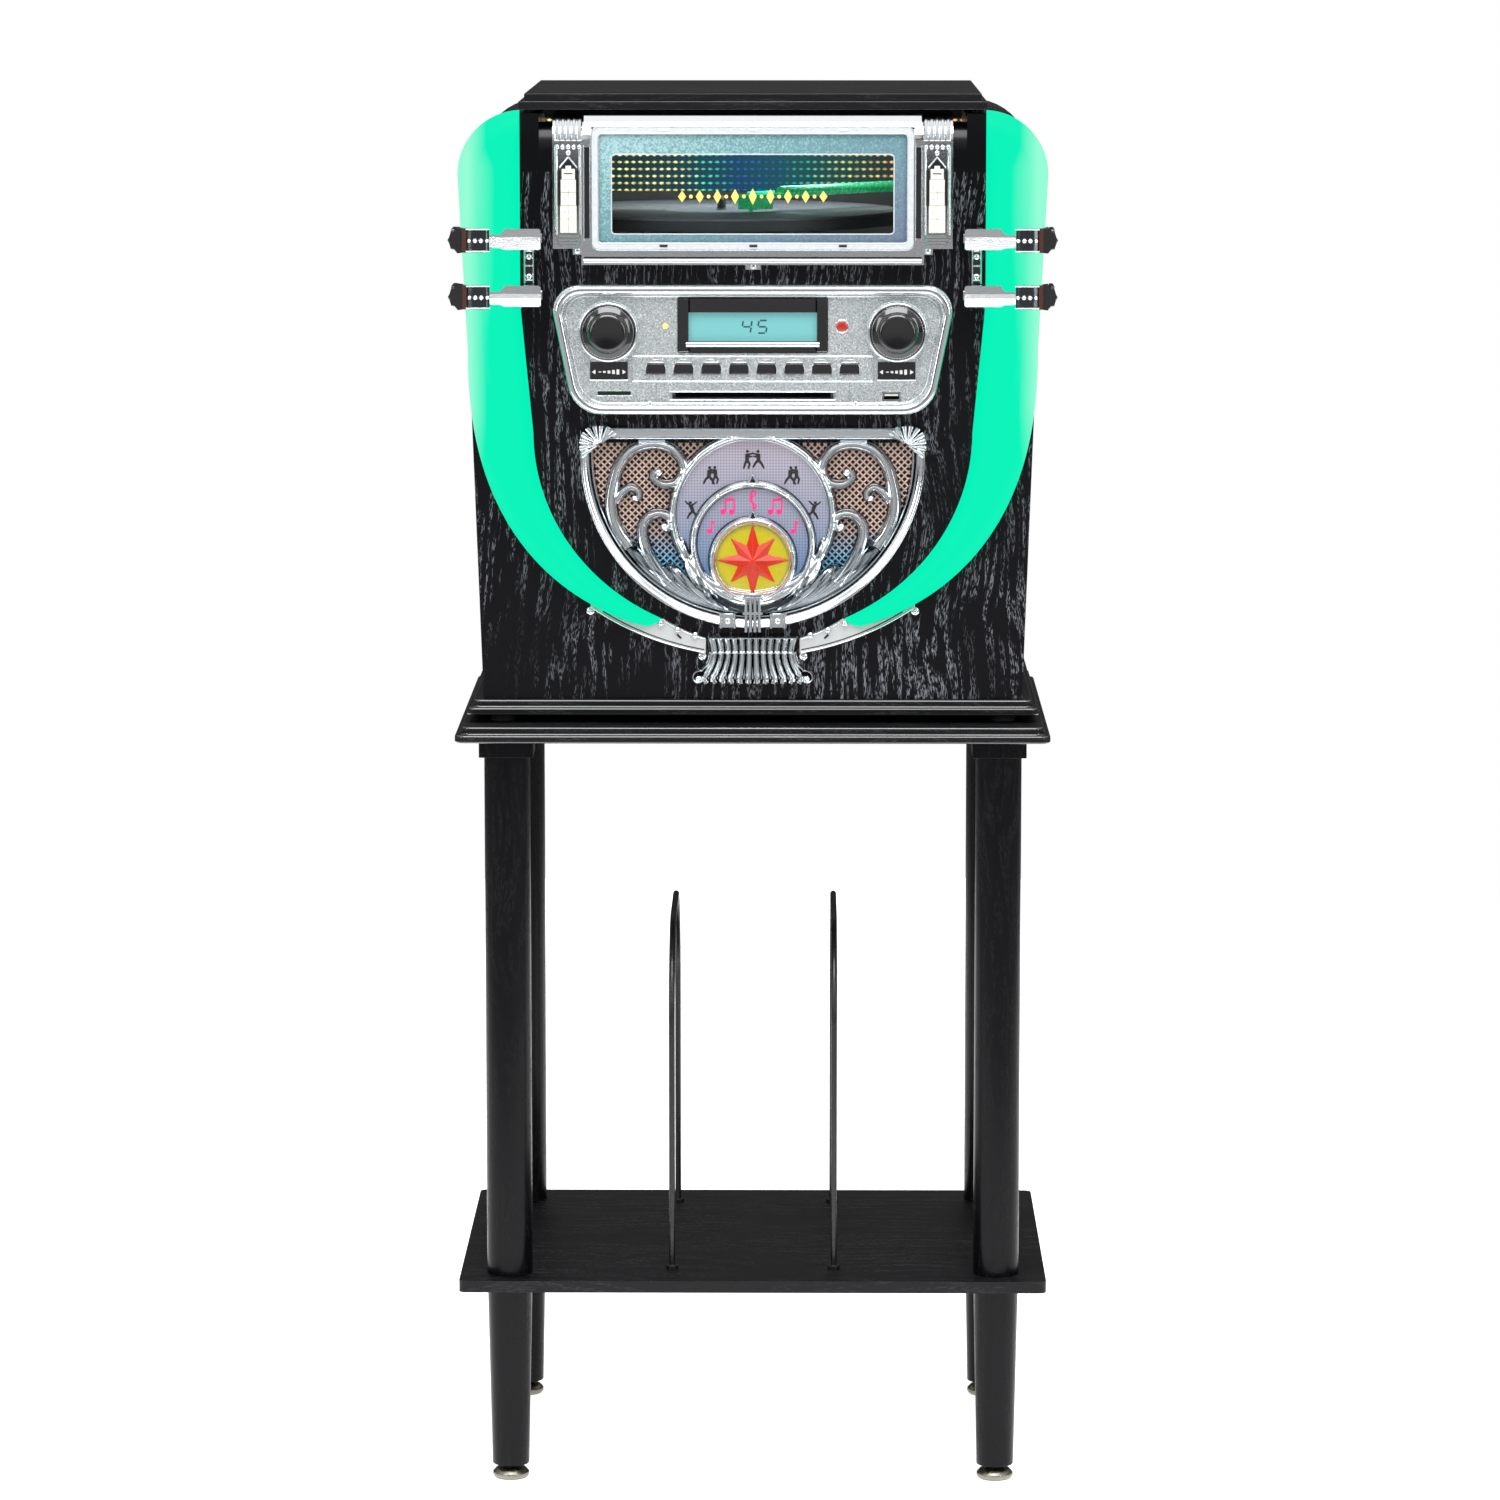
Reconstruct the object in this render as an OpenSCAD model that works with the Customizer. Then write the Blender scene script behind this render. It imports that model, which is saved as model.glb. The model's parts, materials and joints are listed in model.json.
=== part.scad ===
// Free-standing jukebox: a round-shouldered ash cabinet with a record player, radio,
// CD player and lit arches, on a four-legged stand with a record shelf.
// Millimetres, +Z up, floor at z = 0, the front faces -Y, X = 0 is the middle.

/* [Stand] */
// Width of the stand's top board and shelf
stand_w = 476; // [474:1:490]
// Depth of the stand's top board
stand_d = 375; // [370:1:390]
// Underside of the stand's top board above the floor
stand_top_z = 613; // [580:1:640]
// Thickness of the top board
stand_top_t = 12.6; // [12:0.1:14]
// Depth of the record shelf
shelf_d = 350; // [345:1:360]
// Underside of the shelf above the floor
shelf_z = 162; // [140:1:180]
// Thickness of the shelf
shelf_t = 9.5; // [9:0.5:12]
// Distance of each leg from the middle, sideways
leg_x = 198; // [190:1:204]
// Distance of each leg from the middle, front to back
leg_y = 141; // [135:1:148]
// Radius of the straight upper legs
leg_r = 18.5; // [17:0.5:20]
// Height of the wire record dividers above the shelf
divider_h = 283; // [240:1:300]
// Sideways place of each divider
divider_x = 66; // [60:1:80]

/* [Cabinet] */
// Half width of the cabinet where its sides start
cab_half_w = 216.3; // [215:0.1:218]
// Outward lean of the sides, millimetres per millimetre of height
cab_lean = 0.036; // [0.034:0.001:0.038]
// Radius of the rounded shoulders
shoulder_r = 48; // [46:1:48]
// Thickness of the side panels
side_t = 12; // [10:1:14]

/* [Controls] */
// Radius of the two knobs
knob_r = 21; // [19:0.5:22]
// Width of a push button
button_w = 14; // [12:0.5:15]
// Height of a push button
button_h = 8; // [6:0.5:9]
// How far each push button travels
button_travel = 1.2; // [0.8:0.1:1.4]

/* [Record player] */
// Radius of the platter
platter_r = 146; // [140:1:147]
// Radius of the belt ring under the platter
belt_ring_r = 60; // [50:1:60]
// Radius of the motor pulley
pulley_r = 6; // [5:0.5:6]

/* [Hidden] */
$fn = 64;
e = 0.1;
fit = 0.05;
gap = 0.3;
slack = 0.2;
arc_steps = 7;

// Stand
shelf_top = shelf_z + shelf_t;
deck_top = stand_top_z + stand_top_t;
block_h = 15;
glide_h = 12;
bolt_r = 4;
bolt_reach = 24;
wire_r = 2.5;
wire_y = 127.5;
wire_bend = 80;
step_in = 4.5;

// Cabinet; heights are counted up from its floor, cab_z
face_y = -147;
back_y = 180;
foot_h = 6.4;
base_z = deck_top + foot_h;
base_h = 12;
cab_z = base_z + base_h;
cab_h = 468;
cab_top_z = cab_z + cab_h;
panel_t = 12;
inner_y = face_y + panel_t;
rear_t = 10;
rear_y = back_y - rear_t;
shoulder_x = 183.4;
shoulder_z = cab_top_z - shoulder_r;
well_half_w = 170;
rail_z = cab_top_z - 30;
rail_h = 23;
rail_d = 14;
rear_screw_x = 208;
rear_screw_r = 1.9;
rear_screw_z = [for (h = [26 : 110 : 356]) cab_z + h];

// Lid and its hinges
lid_w = 372;
lid_front = face_y - 3;
lid_step_h = 6;
lid_step_in = 4.5;
lid_h = 12.1;
lid_z = cab_top_z + 3.5;
hinge_y = back_y + 4;
hinge_z = cab_top_z + 1;
hinge_x = 110;
leaf_t = 1.5;
leaf_half = 25;
knuckle_in = 9.7;
knuckle_out = [10, 25];
barrel_r = 3;
hinge_pin_r = 1.5;

// Lit arches: half width, drop, centre height and roundness of a lower curve
arch_out = [227.2, 234.6, cab_z + 284, 2.4];
arch_in = [175.3, 163.9, cab_z + 214, 2];
arch_side_top_x = 234.4;
arch_shoulder_r = arch_side_top_x - shoulder_x;
arch_in_top = [185.2, shoulder_z + 5];
arch_tip_x = 74;
arch_depth = 22;
arch_front = face_y - arch_depth;
led_half_w = 4;
clamp_z = [cab_z + 324, cab_z + 369];
clamp_h = 20;
clamp_x = [168, 242];

// Window
win_front = face_y - 12;
win_half = 136;
win_z = cab_z + 349;
win_oval_z = rail_z + 10;
pane_half = 123.5;
pane_t = 3;
pane_z = [cab_z + 365, cab_z + 453];
view_half = 118;
view_z = [cab_z + 370, cab_z + 437];
pillar_w = 22.5;
pillar_z = cab_z + 362;

// Controls
ctl_z = [cab_z + 230, cab_z + 332.3];
ctl_face = face_y - 8;
ctl_rim = face_y - 13;
ctl_reach = face_y - 25;
ctl_board_y = face_y + 5;
lcd_x = 59.3;
lcd_z = [cab_z + 279.2, cab_z + 322.3];
lcd_view_x = 51;
lcd_view_z = [cab_z + 288, cab_z + 311];
knob_x = 115;
knob_z = cab_z + 295.6;
knob_ring_r = 24;
stem_r = 5;
shaft_r = 3;
button_z = cab_z + 266.3;
button_pitch = 22.05;
slot_half = 64;
slot_z = [cab_z + 241.8, cab_z + 247.4];
card_x = [-123.7, -97.2];
card_z = [cab_z + 245, cab_z + 248];
usb_x = [103, 118];
usb_z = [cab_z + 240.2, cab_z + 247.8];

// Speaker grille; a ring is its centre height, outer radius and inner radius
grille_z = cab_z + 196;
grille_r = 138;
grille_top = cab_z + 218;
grille_front = face_y - 12;
grille_rim = 10;
fan_z = cab_z + 116;
mesh_y = [face_y - 1.7, face_y - 0.2];
picture_y = [face_y - 4.8, face_y - 3.2];
ring_big = [cab_z + 149, 67, 61];
ring_mid = [cab_z + 126, 50, 45];
ring_star = [cab_z + 112.6, 35, 29];
speaker_x = 70;
speaker_z = cab_z + 156;
speaker_hole_r = 45;

// Record player
deck_z = cab_z + 354;
deck_t = 6;
deck_up = deck_z + deck_t;
plat = [-27, 14];
plat_z = deck_up + 4;
plat_low = plat_z + 9;
plat_top = plat_z + 18;
mat_t = 2;
mat_top = plat_top + mat_t;
bearing_r = 4.5;
spindle_r = 3.5;
spindle_h = 8;
pulley_at = [-94, 81];
pulley_shaft_r = 1.5;
arm_at = [150, 105];
arm_z = deck_up + 40;
arm_dir = 225;
arm_len = 215;
arm_park = 43;
arm_rest = arm_at + 130 * [cos(arm_dir + arm_park), sin(arm_dir + arm_park)];
turret_r = 5;
cue_at = [185, 60, deck_up + 10];
selector_at = [185, -95];

// Sockets on the back
jack_x = [8, 22];
jack_z = [cab_z + 74, cab_z + 92];
inlet_x = [-46, -24];
inlet_z = [cab_z + 72, cab_z + 90];

// ---------- shared shapes ----------
module block(x, y, z) {
    translate([x[0], y[0], z[0]]) cube([x[1] - x[0], y[1] - y[0], z[1] - z[0]]);
}
module along_y(y0, y1) {
    translate([0, y1, 0]) rotate([90, 0, 0]) linear_extrude(y1 - y0) children();
}
module along_x(x0, x1) {
    translate([x0, 0, 0]) rotate([90, 0, 90]) linear_extrude(x1 - x0) children();
}
module rod_z(at, z0, z1, r) {
    translate([at[0], at[1], z0]) cylinder(r = r, h = z1 - z0);
}
module rod_y(x, z, y0, y1, r) {
    translate([x, y1, z]) rotate([90, 0, 0]) cylinder(r = r, h = y1 - y0);
}
module rod_x(y, z, x0, x1, r) {
    translate([x0, y, z]) rotate([0, 90, 0]) cylinder(r = r, h = x1 - x0);
}
module at_legs() {
    for (sx = [-1, 1], sy = [-1, 1]) translate([sx * leg_x, sy * leg_y, 0]) children();
}
module mirrored(side) {
    mirror([side < 0 ? 1 : 0, 0, 0]) children();
}
function arc(c, r, a0, a1, n = arc_steps) =
    [for (i = [0 : n]) let (a = a0 + (a1 - a0) * i / n) [c[0] + r * cos(a), c[1] + r * sin(a)]];
function oval_arc(c, rx, ry, a0, a1, n = arc_steps) =
    [for (i = [0 : n]) let (a = a0 + (a1 - a0) * i / n) [c[0] + rx * cos(a), c[1] + ry * sin(a)]];
function rounded(w, h, r) = concat(
    arc([w / 2 - r, h / 2 - r], r, 0, 90), arc([r - w / 2, h / 2 - r], r, 90, 180),
    arc([r - w / 2, r - h / 2], r, 180, 270), arc([w / 2 - r, r - h / 2], r, 270, 360));
function unit(v) = v / norm(v);
// Rounds corner b of the path a, b, c with radius r
function corner(a, b, c, r) =
    let (u = unit(a - b), v = unit(c - b), half = acos(u * v) / 2,
         p = b + u * r / tan(half), m = b + unit(u + v) * r / sin(half),
         a0 = atan2(p[1] - m[1], p[0] - m[0]), q = b + v * r / tan(half),
         a1 = atan2(q[1] - m[1], q[0] - m[0]),
         turn = a1 - a0 > 180 ? a1 - a0 - 360 : a1 - a0 < -180 ? a1 - a0 + 360 : a1 - a0)
    arc(m, r, a0, a0 + turn);
function stepped(w, d, inset, r) = rounded(w - 2 * inset, d - 2 * inset, r);

// Half width of the cabinet at a height
function cab_x(z) = cab_half_w + cab_lean * (z - cab_z);
function cab_half(inset) = concat(
    [[cab_x(cab_z) - inset, cab_z], [shoulder_x + shoulder_r - inset, shoulder_z]],
    arc([shoulder_x, shoulder_z], shoulder_r - inset, 6, 90, 10));
function flip(pts) = [for (i = [len(pts) - 1 : -1 : 0]) [-pts[i][0], pts[i][1]]];
function cab_outline(inset) = concat(cab_half(inset), flip(cab_half(inset)));

// Height of an arch's lower curve at x; s = [half width, drop, centre height, roundness]
function arch_z(s, x) = s[2] - s[1] * pow(1 - pow(x / s[0], s[3]), 1 / s[3]);
function grown(s, d) = [s[0] + d, s[1] + d, s[2], s[3]];
function arch_run(s, x0, x1, n) =
    [for (i = [0 : n]) let (t = i / n, a = asin(x0 / s[0]) * (1 - t) + asin(x1 / s[0]) * t,
        x = s[0] * sin(a)) [x, arch_z(s, x)]];
// Outline of one arch, drawn inwards by d
function arch_outline(d) =
    let (o = grown(arch_out, -d), n = grown(arch_in, d))
    concat(arc([shoulder_x, shoulder_z], arch_shoulder_r - d, 88, 0, 10),
        arch_run(o, o[0], 96 + 4 * d, 14),
        arch_run(n, arch_tip_x + 5 * d, n[0], 14),
        [arch_in_top + [d, 0]]);

// ---------- stand ----------
module stand_top() {
    color("#15151a") union() {
        translate([0, 0, stand_top_z]) linear_extrude(stand_top_t / 2)
            polygon(stepped(stand_w, stand_d, 0, 8));
        translate([0, 0, stand_top_z + stand_top_t / 2]) linear_extrude(stand_top_t / 2)
            polygon(stepped(stand_w, stand_d, step_in, 8));
    }
}
module leg_blocks() {
    side = 43.5;
    color("#15151a") at_legs() difference() {
        translate([-side / 2, -side / 2, stand_top_z - block_h]) cube([side, side, block_h]);
        rod_z([0, 0], stand_top_z - block_h - e, stand_top_z + e, bolt_r + fit);
    }
}
module upper_legs() {
    top = stand_top_z - block_h;
    color("#15151a") at_legs() difference() {
        rod_z([0, 0], shelf_top, top, leg_r);
        rod_z([0, 0], shelf_top - e, shelf_top + bolt_reach, bolt_r + fit);
        rod_z([0, 0], top - bolt_reach, top + e, bolt_r + fit);
    }
}
module lower_legs() {
    color("#15151a") at_legs() difference() {
        translate([0, 0, glide_h]) cylinder(r1 = 15, r2 = 18.2, h = shelf_z - glide_h);
        rod_z([0, 0], shelf_z - bolt_reach, shelf_z + e, bolt_r + fit);
        rod_z([0, 0], glide_h - e, glide_h + 18, shaft_r + fit);
    }
}
module foot_glides() {
    color("#8a8570") at_legs() rotate_extrude()
        polygon([[0, 0], [13, 0], [15, 2.5], [15, 5], [12, 8], [7, 10], [7, glide_h],
            [shaft_r, glide_h], [shaft_r, glide_h + 17], [0, glide_h + 17]]);
}
module shelf() {
    color("#15151a") difference() {
        translate([0, 0, shelf_z]) linear_extrude(shelf_t)
            polygon(stepped(stand_w, shelf_d, 0, 6));
        at_legs() rod_z([0, 0], shelf_z - e, shelf_top + e, bolt_r + fit);
        for (sx = [-1, 1], sy = [-1, 1])
            rod_z([sx * divider_x, sy * wire_y], shelf_z - e, shelf_top + e, wire_r + fit);
    }
}
module record_divider(side) {
    bend_z = shelf_top + divider_h - wire_r - wire_bend;
    flat = wire_y - wire_bend;
    color("#101012") translate([side * divider_x, 0, 0]) union() {
        for (sy = [-1, 1]) {
            rod_z([0, sy * wire_y], shelf_z - 6, bend_z, wire_r);
            rod_z([0, sy * wire_y], shelf_top, shelf_top + 3, 5);
        }
        translate([0, flat, bend_z]) rotate([90, 0, 90]) rotate_extrude(angle = 90)
            translate([wire_bend, 0]) circle(r = wire_r);
        translate([0, -flat, bend_z]) rotate([90, 0, 90]) rotate([0, 0, 90])
            rotate_extrude(angle = 90) translate([wire_bend, 0]) circle(r = wire_r);
        translate([0, flat, bend_z + wire_bend]) rotate([90, 0, 0])
            cylinder(r = wire_r, h = 2 * flat);
    }
}
module hex_nut(z) {
    difference() {
        translate([0, 0, z]) cylinder(r = 5, h = 4, $fn = 6);
        rod_z([0, 0], z - e, z + 4 + e, wire_r + fit);
    }
}
module rear_screws() {
    for (s = [-1, 1], z = rear_screw_z) {
        rod_y(s * rear_screw_x, z, rear_y, back_y + e, rear_screw_r);
        rod_y(s * rear_screw_x, z, back_y, back_y + 2, 4);
    }
}
module fasteners() {
    color("silver") {
        at_legs() {
            rod_z([0, 0], shelf_z - bolt_reach + 1, shelf_top + bolt_reach - 1, bolt_r);
            rod_z([0, 0], stand_top_z - block_h - bolt_reach + 1, stand_top_z, bolt_r);
        }
        for (sx = [-1, 1], sy = [-1, 1])
            translate([sx * divider_x, sy * wire_y, 0]) hex_nut(shelf_z - 4);
        rear_screws();
    }
}

// ---------- cabinet ----------
module base_plate() {
    w = 458.5;
    d = 345;
    overhang = 5.5;
    color("#15151a") translate([0, back_y + overhang - d / 2, base_z]) union() {
        linear_extrude(base_h / 2) polygon(stepped(w, d, 0, 6));
        translate([0, 0, base_h / 2]) linear_extrude(base_h / 2)
            polygon(stepped(w, d, step_in, 6));
    }
}
module rubber_feet() {
    foot_r = 10;
    color("#0c0c0c") for (sx = [-1, 1], y = [-138, 165])
        rod_z([sx * 201, y], deck_top, base_z, foot_r);
}
module front_panel() {
    control_hole = 130;
    color("#1a1a20") difference() {
        union() {
            along_y(face_y, inner_y) difference() {
                polygon(cab_outline(0));
                translate([-well_half_w, rail_z]) square([2 * well_half_w, 50]);
            }
            along_x(-well_half_w - e, well_half_w + e)
                polygon(concat([[face_y + rail_d, rail_z - e], [face_y, rail_z - e]],
                    oval_arc([face_y + rail_d, rail_z], rail_d, rail_h, 180, 90)));
        }
        block([-view_half, view_half], [face_y - e, inner_y + e], view_z);
        block([-control_hole, control_hole], [face_y - e, inner_y + e],
            [ctl_z[0] + 6, lcd_z[1] + 0.7]);
        for (s = [-1, 1])
            rod_y(s * speaker_x, speaker_z, face_y - e, inner_y + e, speaker_hole_r);
    }
}
module side_panel(side) {
    pts = concat(cab_half(0), [[well_half_w, cab_top_z], [well_half_w, cab_top_z - side_t]],
        arc([shoulder_x, shoulder_z], shoulder_r - side_t, 90, 6, 10),
        [[shoulder_x + shoulder_r - side_t, shoulder_z], [cab_x(cab_z) - side_t, cab_z]]);
    color("#15151a") mirrored(side) along_y(inner_y, rear_y) polygon(pts);
}
module rear_panel() {
    vent_x = 120;
    vent_half = 30;
    vent_h = 3.5;
    through = [rear_y - e, back_y + e];
    color("#141416") difference() {
        along_y(rear_y, back_y) polygon(cab_outline(0));
        block([-56, 56], through, [cab_z + 58, cab_z + 114]);
        for (s = [-1, 1], z = [cab_z + 156 : 12 : cab_z + 228])
            block([s * vent_x - vent_half, s * vent_x + vent_half], through, [z, z + vent_h]);
        for (s = [-1, 1], z = rear_screw_z)
            rod_y(s * rear_screw_x, z, through[0], through[1], rear_screw_r + 0.1);
    }
}
module cue_cheeks() {
    for (x = [cue_at[0] - 8, cue_at[0] + 5])
        block([x, x + 3], [cue_at[1] - 6, cue_at[1] + 6], [deck_up - e, cue_at[2] + 5]);
}
module turntable_deck() {
    half = 216;
    below = deck_z - 20;
    above = deck_up + 5;
    color("#1c1c1e") difference() {
        union() {
            block([-half, half], [inner_y, rear_y], [deck_z, deck_up]);
            rod_z(plat, deck_z - 14, deck_up + 2, 2 * bearing_r);
            rod_z(arm_at, deck_z - 12, deck_up, 12);
            rod_z(arm_rest, deck_up - e, arm_z - 5.5, 4);
            cue_cheeks();
        }
        rod_z(plat, below, above, bearing_r + fit);
        rod_z(arm_at, below, above, turret_r + fit);
        rod_z(pulley_at, below, above, 9);
        rod_z(selector_at, below, above, shaft_r + fit);
        rod_x(cue_at[1], cue_at[2], cue_at[0] - 20, cue_at[0] + 20, shaft_r + fit);
    }
}
// Two stepped boards with a locating rim and four pads underneath
module lid() {
    half = lid_w / 2;
    up = half - lid_step_in;
    rim = 6;
    rim_half = well_half_w - 4;
    rim_y = [inner_y + 7, rear_y - 6];
    rim_z = cab_top_z - 4;
    color("#15151a") union() {
        block([-half, half], [lid_front, back_y], [lid_z, lid_z + lid_step_h]);
        block([-up, up], [lid_front + lid_step_in, back_y - lid_step_in],
            [lid_z + lid_step_h - e, lid_z + lid_h]);
        difference() {
            block([-rim_half, rim_half], rim_y, [rim_z, lid_z + e]);
            block([rim - rim_half, rim_half - rim], [rim_y[0] + rim, rim_y[1] - rim],
                [rim_z - e, lid_z + 2 * e]);
        }
        for (s = [-1, 1], y = [-120, 150])
            rod_z([s * (well_half_w + 7), y], cab_top_z + gap, lid_z + e, 4);
    }
}
// Each hinge: the middle knuckle is the cabinet's, the outer two and the pin are the lid's
module hinge_fixed_leaves() {
    color("#c9a85a") for (s = [-1, 1]) translate([s * hinge_x, 0, 0]) difference() {
        union() {
            block([-leaf_half, leaf_half], [back_y, back_y + leaf_t], [hinge_z - 27, hinge_z - 4]);
            block([-knuckle_in, knuckle_in], [back_y, hinge_y], [hinge_z - 5, hinge_z - 1.8]);
            rod_x(hinge_y, hinge_z, -knuckle_in, knuckle_in, barrel_r);
        }
        rod_x(hinge_y, hinge_z, -12, 12, hinge_pin_r + fit);
    }
}
module hinge_lid_leaves() {
    leaf_y = [back_y + gap, back_y + leaf_t];
    color("#c9a85a") for (s = [-1, 1]) translate([s * hinge_x, 0, 0]) union() {
        block([-leaf_half, leaf_half], leaf_y, [lid_z + 0.5, lid_z + 5.5]);
        for (side = [-1, 1]) mirrored(side) {
            rod_x(hinge_y, hinge_z, knuckle_out[0], knuckle_out[1], barrel_r);
            block(knuckle_out, [leaf_y[0], hinge_y], [hinge_z + 1.6, hinge_z + 2.9]);
            block(knuckle_out, leaf_y, [hinge_z + 1.6, lid_z + 2]);
        }
        rod_x(hinge_y, hinge_z, 1 - leaf_half, leaf_half - 1, hinge_pin_r);
    }
}

// ---------- lit arches ----------
module arch_layer(d, y0, y1) {
    along_y(y0, y1) polygon(arch_outline(d));
}
// A hollow shell whose front steps inwards twice
module arch_tube(side) {
    step = [3, 9];
    inside = [6, 12];
    color("#00f0c0") mirrored(side) difference() {
        union() {
            arch_layer(0, arch_front + step[1], face_y);
            arch_layer(3, arch_front + step[0], arch_front + step[1] + e);
            arch_layer(8, arch_front, arch_front + step[0] + e);
        }
        arch_layer(3, arch_front + inside[1], face_y + e);
        arch_layer(6.5, arch_front + inside[0], arch_front + inside[1] + e);
    }
}
module led_strips() {
    mid = (arch_out + arch_in) / 2;
    wide = grown(mid, led_half_w);
    narrow = grown(mid, -led_half_w);
    r = mid[0] + 8.5 - shoulder_x;
    color("#e8f4ee") for (s = [-1, 1]) mirrored(s) along_y(face_y - 1.6, face_y)
        polygon(concat(arc([shoulder_x, shoulder_z], r + led_half_w, 80, 0),
            arch_run(wide, wide[0], 125, 12), arch_run(narrow, 125, narrow[0], 12),
            arc([shoulder_x, shoulder_z], r - led_half_w, 0, 80)));
}
module arch_clamp(side) {
    front = arch_front - 0.4;
    strap_t = 4;
    tail_y = inner_y + 17;
    hook_t = 6;
    foot_w = 5;
    link_w = 12;
    link_d = 8;
    color("#d8dade") mirrored(side) union() {
        for (z = clamp_z) {
            zz = [z - clamp_h / 2, z + clamp_h / 2];
            block(clamp_x, [front - strap_t, front], zz);
            block([clamp_x[0], clamp_x[0] + foot_w], [front - e, face_y], zz);
            block([clamp_x[1] - strap_t, clamp_x[1]], [front - e, tail_y], zz);
            block([cab_x(z) + 1, clamp_x[1] - strap_t + e], [tail_y - hook_t, tail_y], zz);
        }
        block([clamp_x[0], clamp_x[0] + link_w], [face_y - link_d, face_y],
            [clamp_z[0] + clamp_h / 2 - e, clamp_z[1] - clamp_h / 2 + e]);
    }
}

// ---------- window ----------
// Side view of the frame: flat below, then back over the rounded top rail
function win_section(front, top_z) = concat(
    [[face_y, win_z], [front, win_z]],
    oval_arc([face_y + rail_d, win_oval_z], face_y + rail_d - front, top_z - win_oval_z, 180, 90),
    oval_arc([face_y + rail_d, rail_z], rail_d + gap, rail_h + gap, 90, 180),
    [[face_y, rail_z]]);
module window_frame() {
    color("#c8ccd0") difference() {
        union() {
            along_x(-win_half, win_half) polygon(win_section(win_front, cab_top_z));
            for (s = [-1, 1]) mirrored(s) difference() {
                along_x(win_half - e, win_half + pillar_w)
                    polygon(win_section(win_front - 3, cab_top_z + 1));
                block([0, 200], [ctl_reach, 0], [win_z - e, pillar_z]);
            }
        }
        block([-view_half, view_half], [ctl_reach, face_y + e], view_z);
        block([-pane_half - slack, pane_half + slack], [ctl_reach, win_front + 1 + pane_t],
            [pane_z[0] - slack, pane_z[1] + slack]);
    }
}
module window_pane() {
    color([0.6, 0.75, 0.78, 0.4])
        block([-pane_half, pane_half], [win_front + 1, win_front + 1 + pane_t], pane_z);
}
module foil_panel() {
    color("#7fb08f") block([-200, 200], [rear_y - 1.4, rear_y - slack], [cab_z + 391, cab_top_z - 14]);
}

// ---------- controls ----------
function ctl_outline(d) =
    let (top = ctl_z[1] - d, bottom = ctl_z[0] + d, xt = 163.1 - 1.22 * d, xb = 142.5 - 0.82 * d,
         a = [xt, top], b = [xb, bottom], c = [-xb, bottom], f = [-xt, top])
    concat(corner(f, a, b, 20 - d / 2), corner(a, b, c, 27 - d / 2),
        corner(b, c, f, 27 - d / 2), corner(c, f, a, 20 - d / 2));
function button_x(i) = (i - 3.5) * button_pitch;
module control_panel() {
    reach = [ctl_reach, face_y + e];
    color("#b9c2c4") difference() {
        union() {
            along_y(ctl_rim, face_y) polygon(ctl_outline(0));
            for (s = [-1, 1]) rod_y(s * knob_x, knob_z, ctl_rim + 1, face_y - 1, knob_ring_r);
        }
        difference() {
            along_y(ctl_rim - e, ctl_face) polygon(ctl_outline(7));
            for (s = [-1, 1]) rod_y(s * knob_x, knob_z, ctl_face - 2, ctl_face + e, knob_ring_r);
        }
        block([-lcd_x - slack, lcd_x + slack], reach, [lcd_z[0] - slack, lcd_z[1] + slack]);
        for (i = [0 : 7]) button_block(i, gap, reach);
        for (s = [-1, 1]) rod_y(s * knob_x, knob_z, reach[0], reach[1], stem_r + fit);
        block([-slot_half, slot_half], reach, slot_z);
        block(card_x, reach, card_z);
        block(usb_x, reach, usb_z);
    }
}
module lcd_module() {
    color("#8fd0cf") difference() {
        block([-lcd_x, lcd_x], [ctl_face - 2, face_y + 1], lcd_z);
        block([-lcd_view_x, lcd_view_x], [ctl_face - 3, ctl_face + 3], lcd_view_z);
    }
}
module cd_mechanism() {
    front = inner_y + 1;
    color("#9a9da0") difference() {
        block([-73, 73], [front, 20], [slot_z[0] - 9.8, slot_z[1] + 10.6]);
        block([2 - slot_half, slot_half - 2], [front - e, -6], [slot_z[0] - slack, slot_z[1] + slack]);
    }
}
// A thin box open towards the front
module usb_socket() {
    wall = 1;
    x = [usb_x[0] + 0.4, usb_x[1] - 0.4];
    z = [usb_z[0] + 0.3, usb_z[1] - 0.3];
    difference() {
        block(x, [ctl_face + 2, inner_y - 1], z);
        block([x[0] + wall, x[1] - wall], [ctl_face + 1, inner_y - 4], [z[0] + wall, z[1] - wall]);
    }
}
module circuit_boards() {
    board_t = 1.6;
    rear_board_z = cab_z + 6;
    on_board = rear_board_z + board_t - e;
    color("#1f6b3a") {
        difference() {
            block([-128, 128], [ctl_board_y, ctl_board_y + board_t], [button_z - 10.3, lcd_z[1] - 2.3]);
            for (s = [-1, 1]) rod_y(s * knob_x, knob_z, ctl_board_y - 1, ctl_board_y + 3, 8);
        }
        usb_socket();
        block([card_x[0] + gap, card_x[1] - gap], [ctl_face + 3, inner_y + 5],
            [card_z[0] + slack, card_z[1] - slack]);
        block([-70, 70], [80, 165], [rear_board_z, rear_board_z + board_t]);
        for (x = [-62, 62], y = [88, 157]) rod_z([x, y], cab_z, rear_board_z + e, 3);
        block([-60, -10], [100, 142], [on_board, on_board + 37.5]);
        block([15, 60], [95, 105], [on_board, on_board + 28.5]);
    }
}
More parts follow.
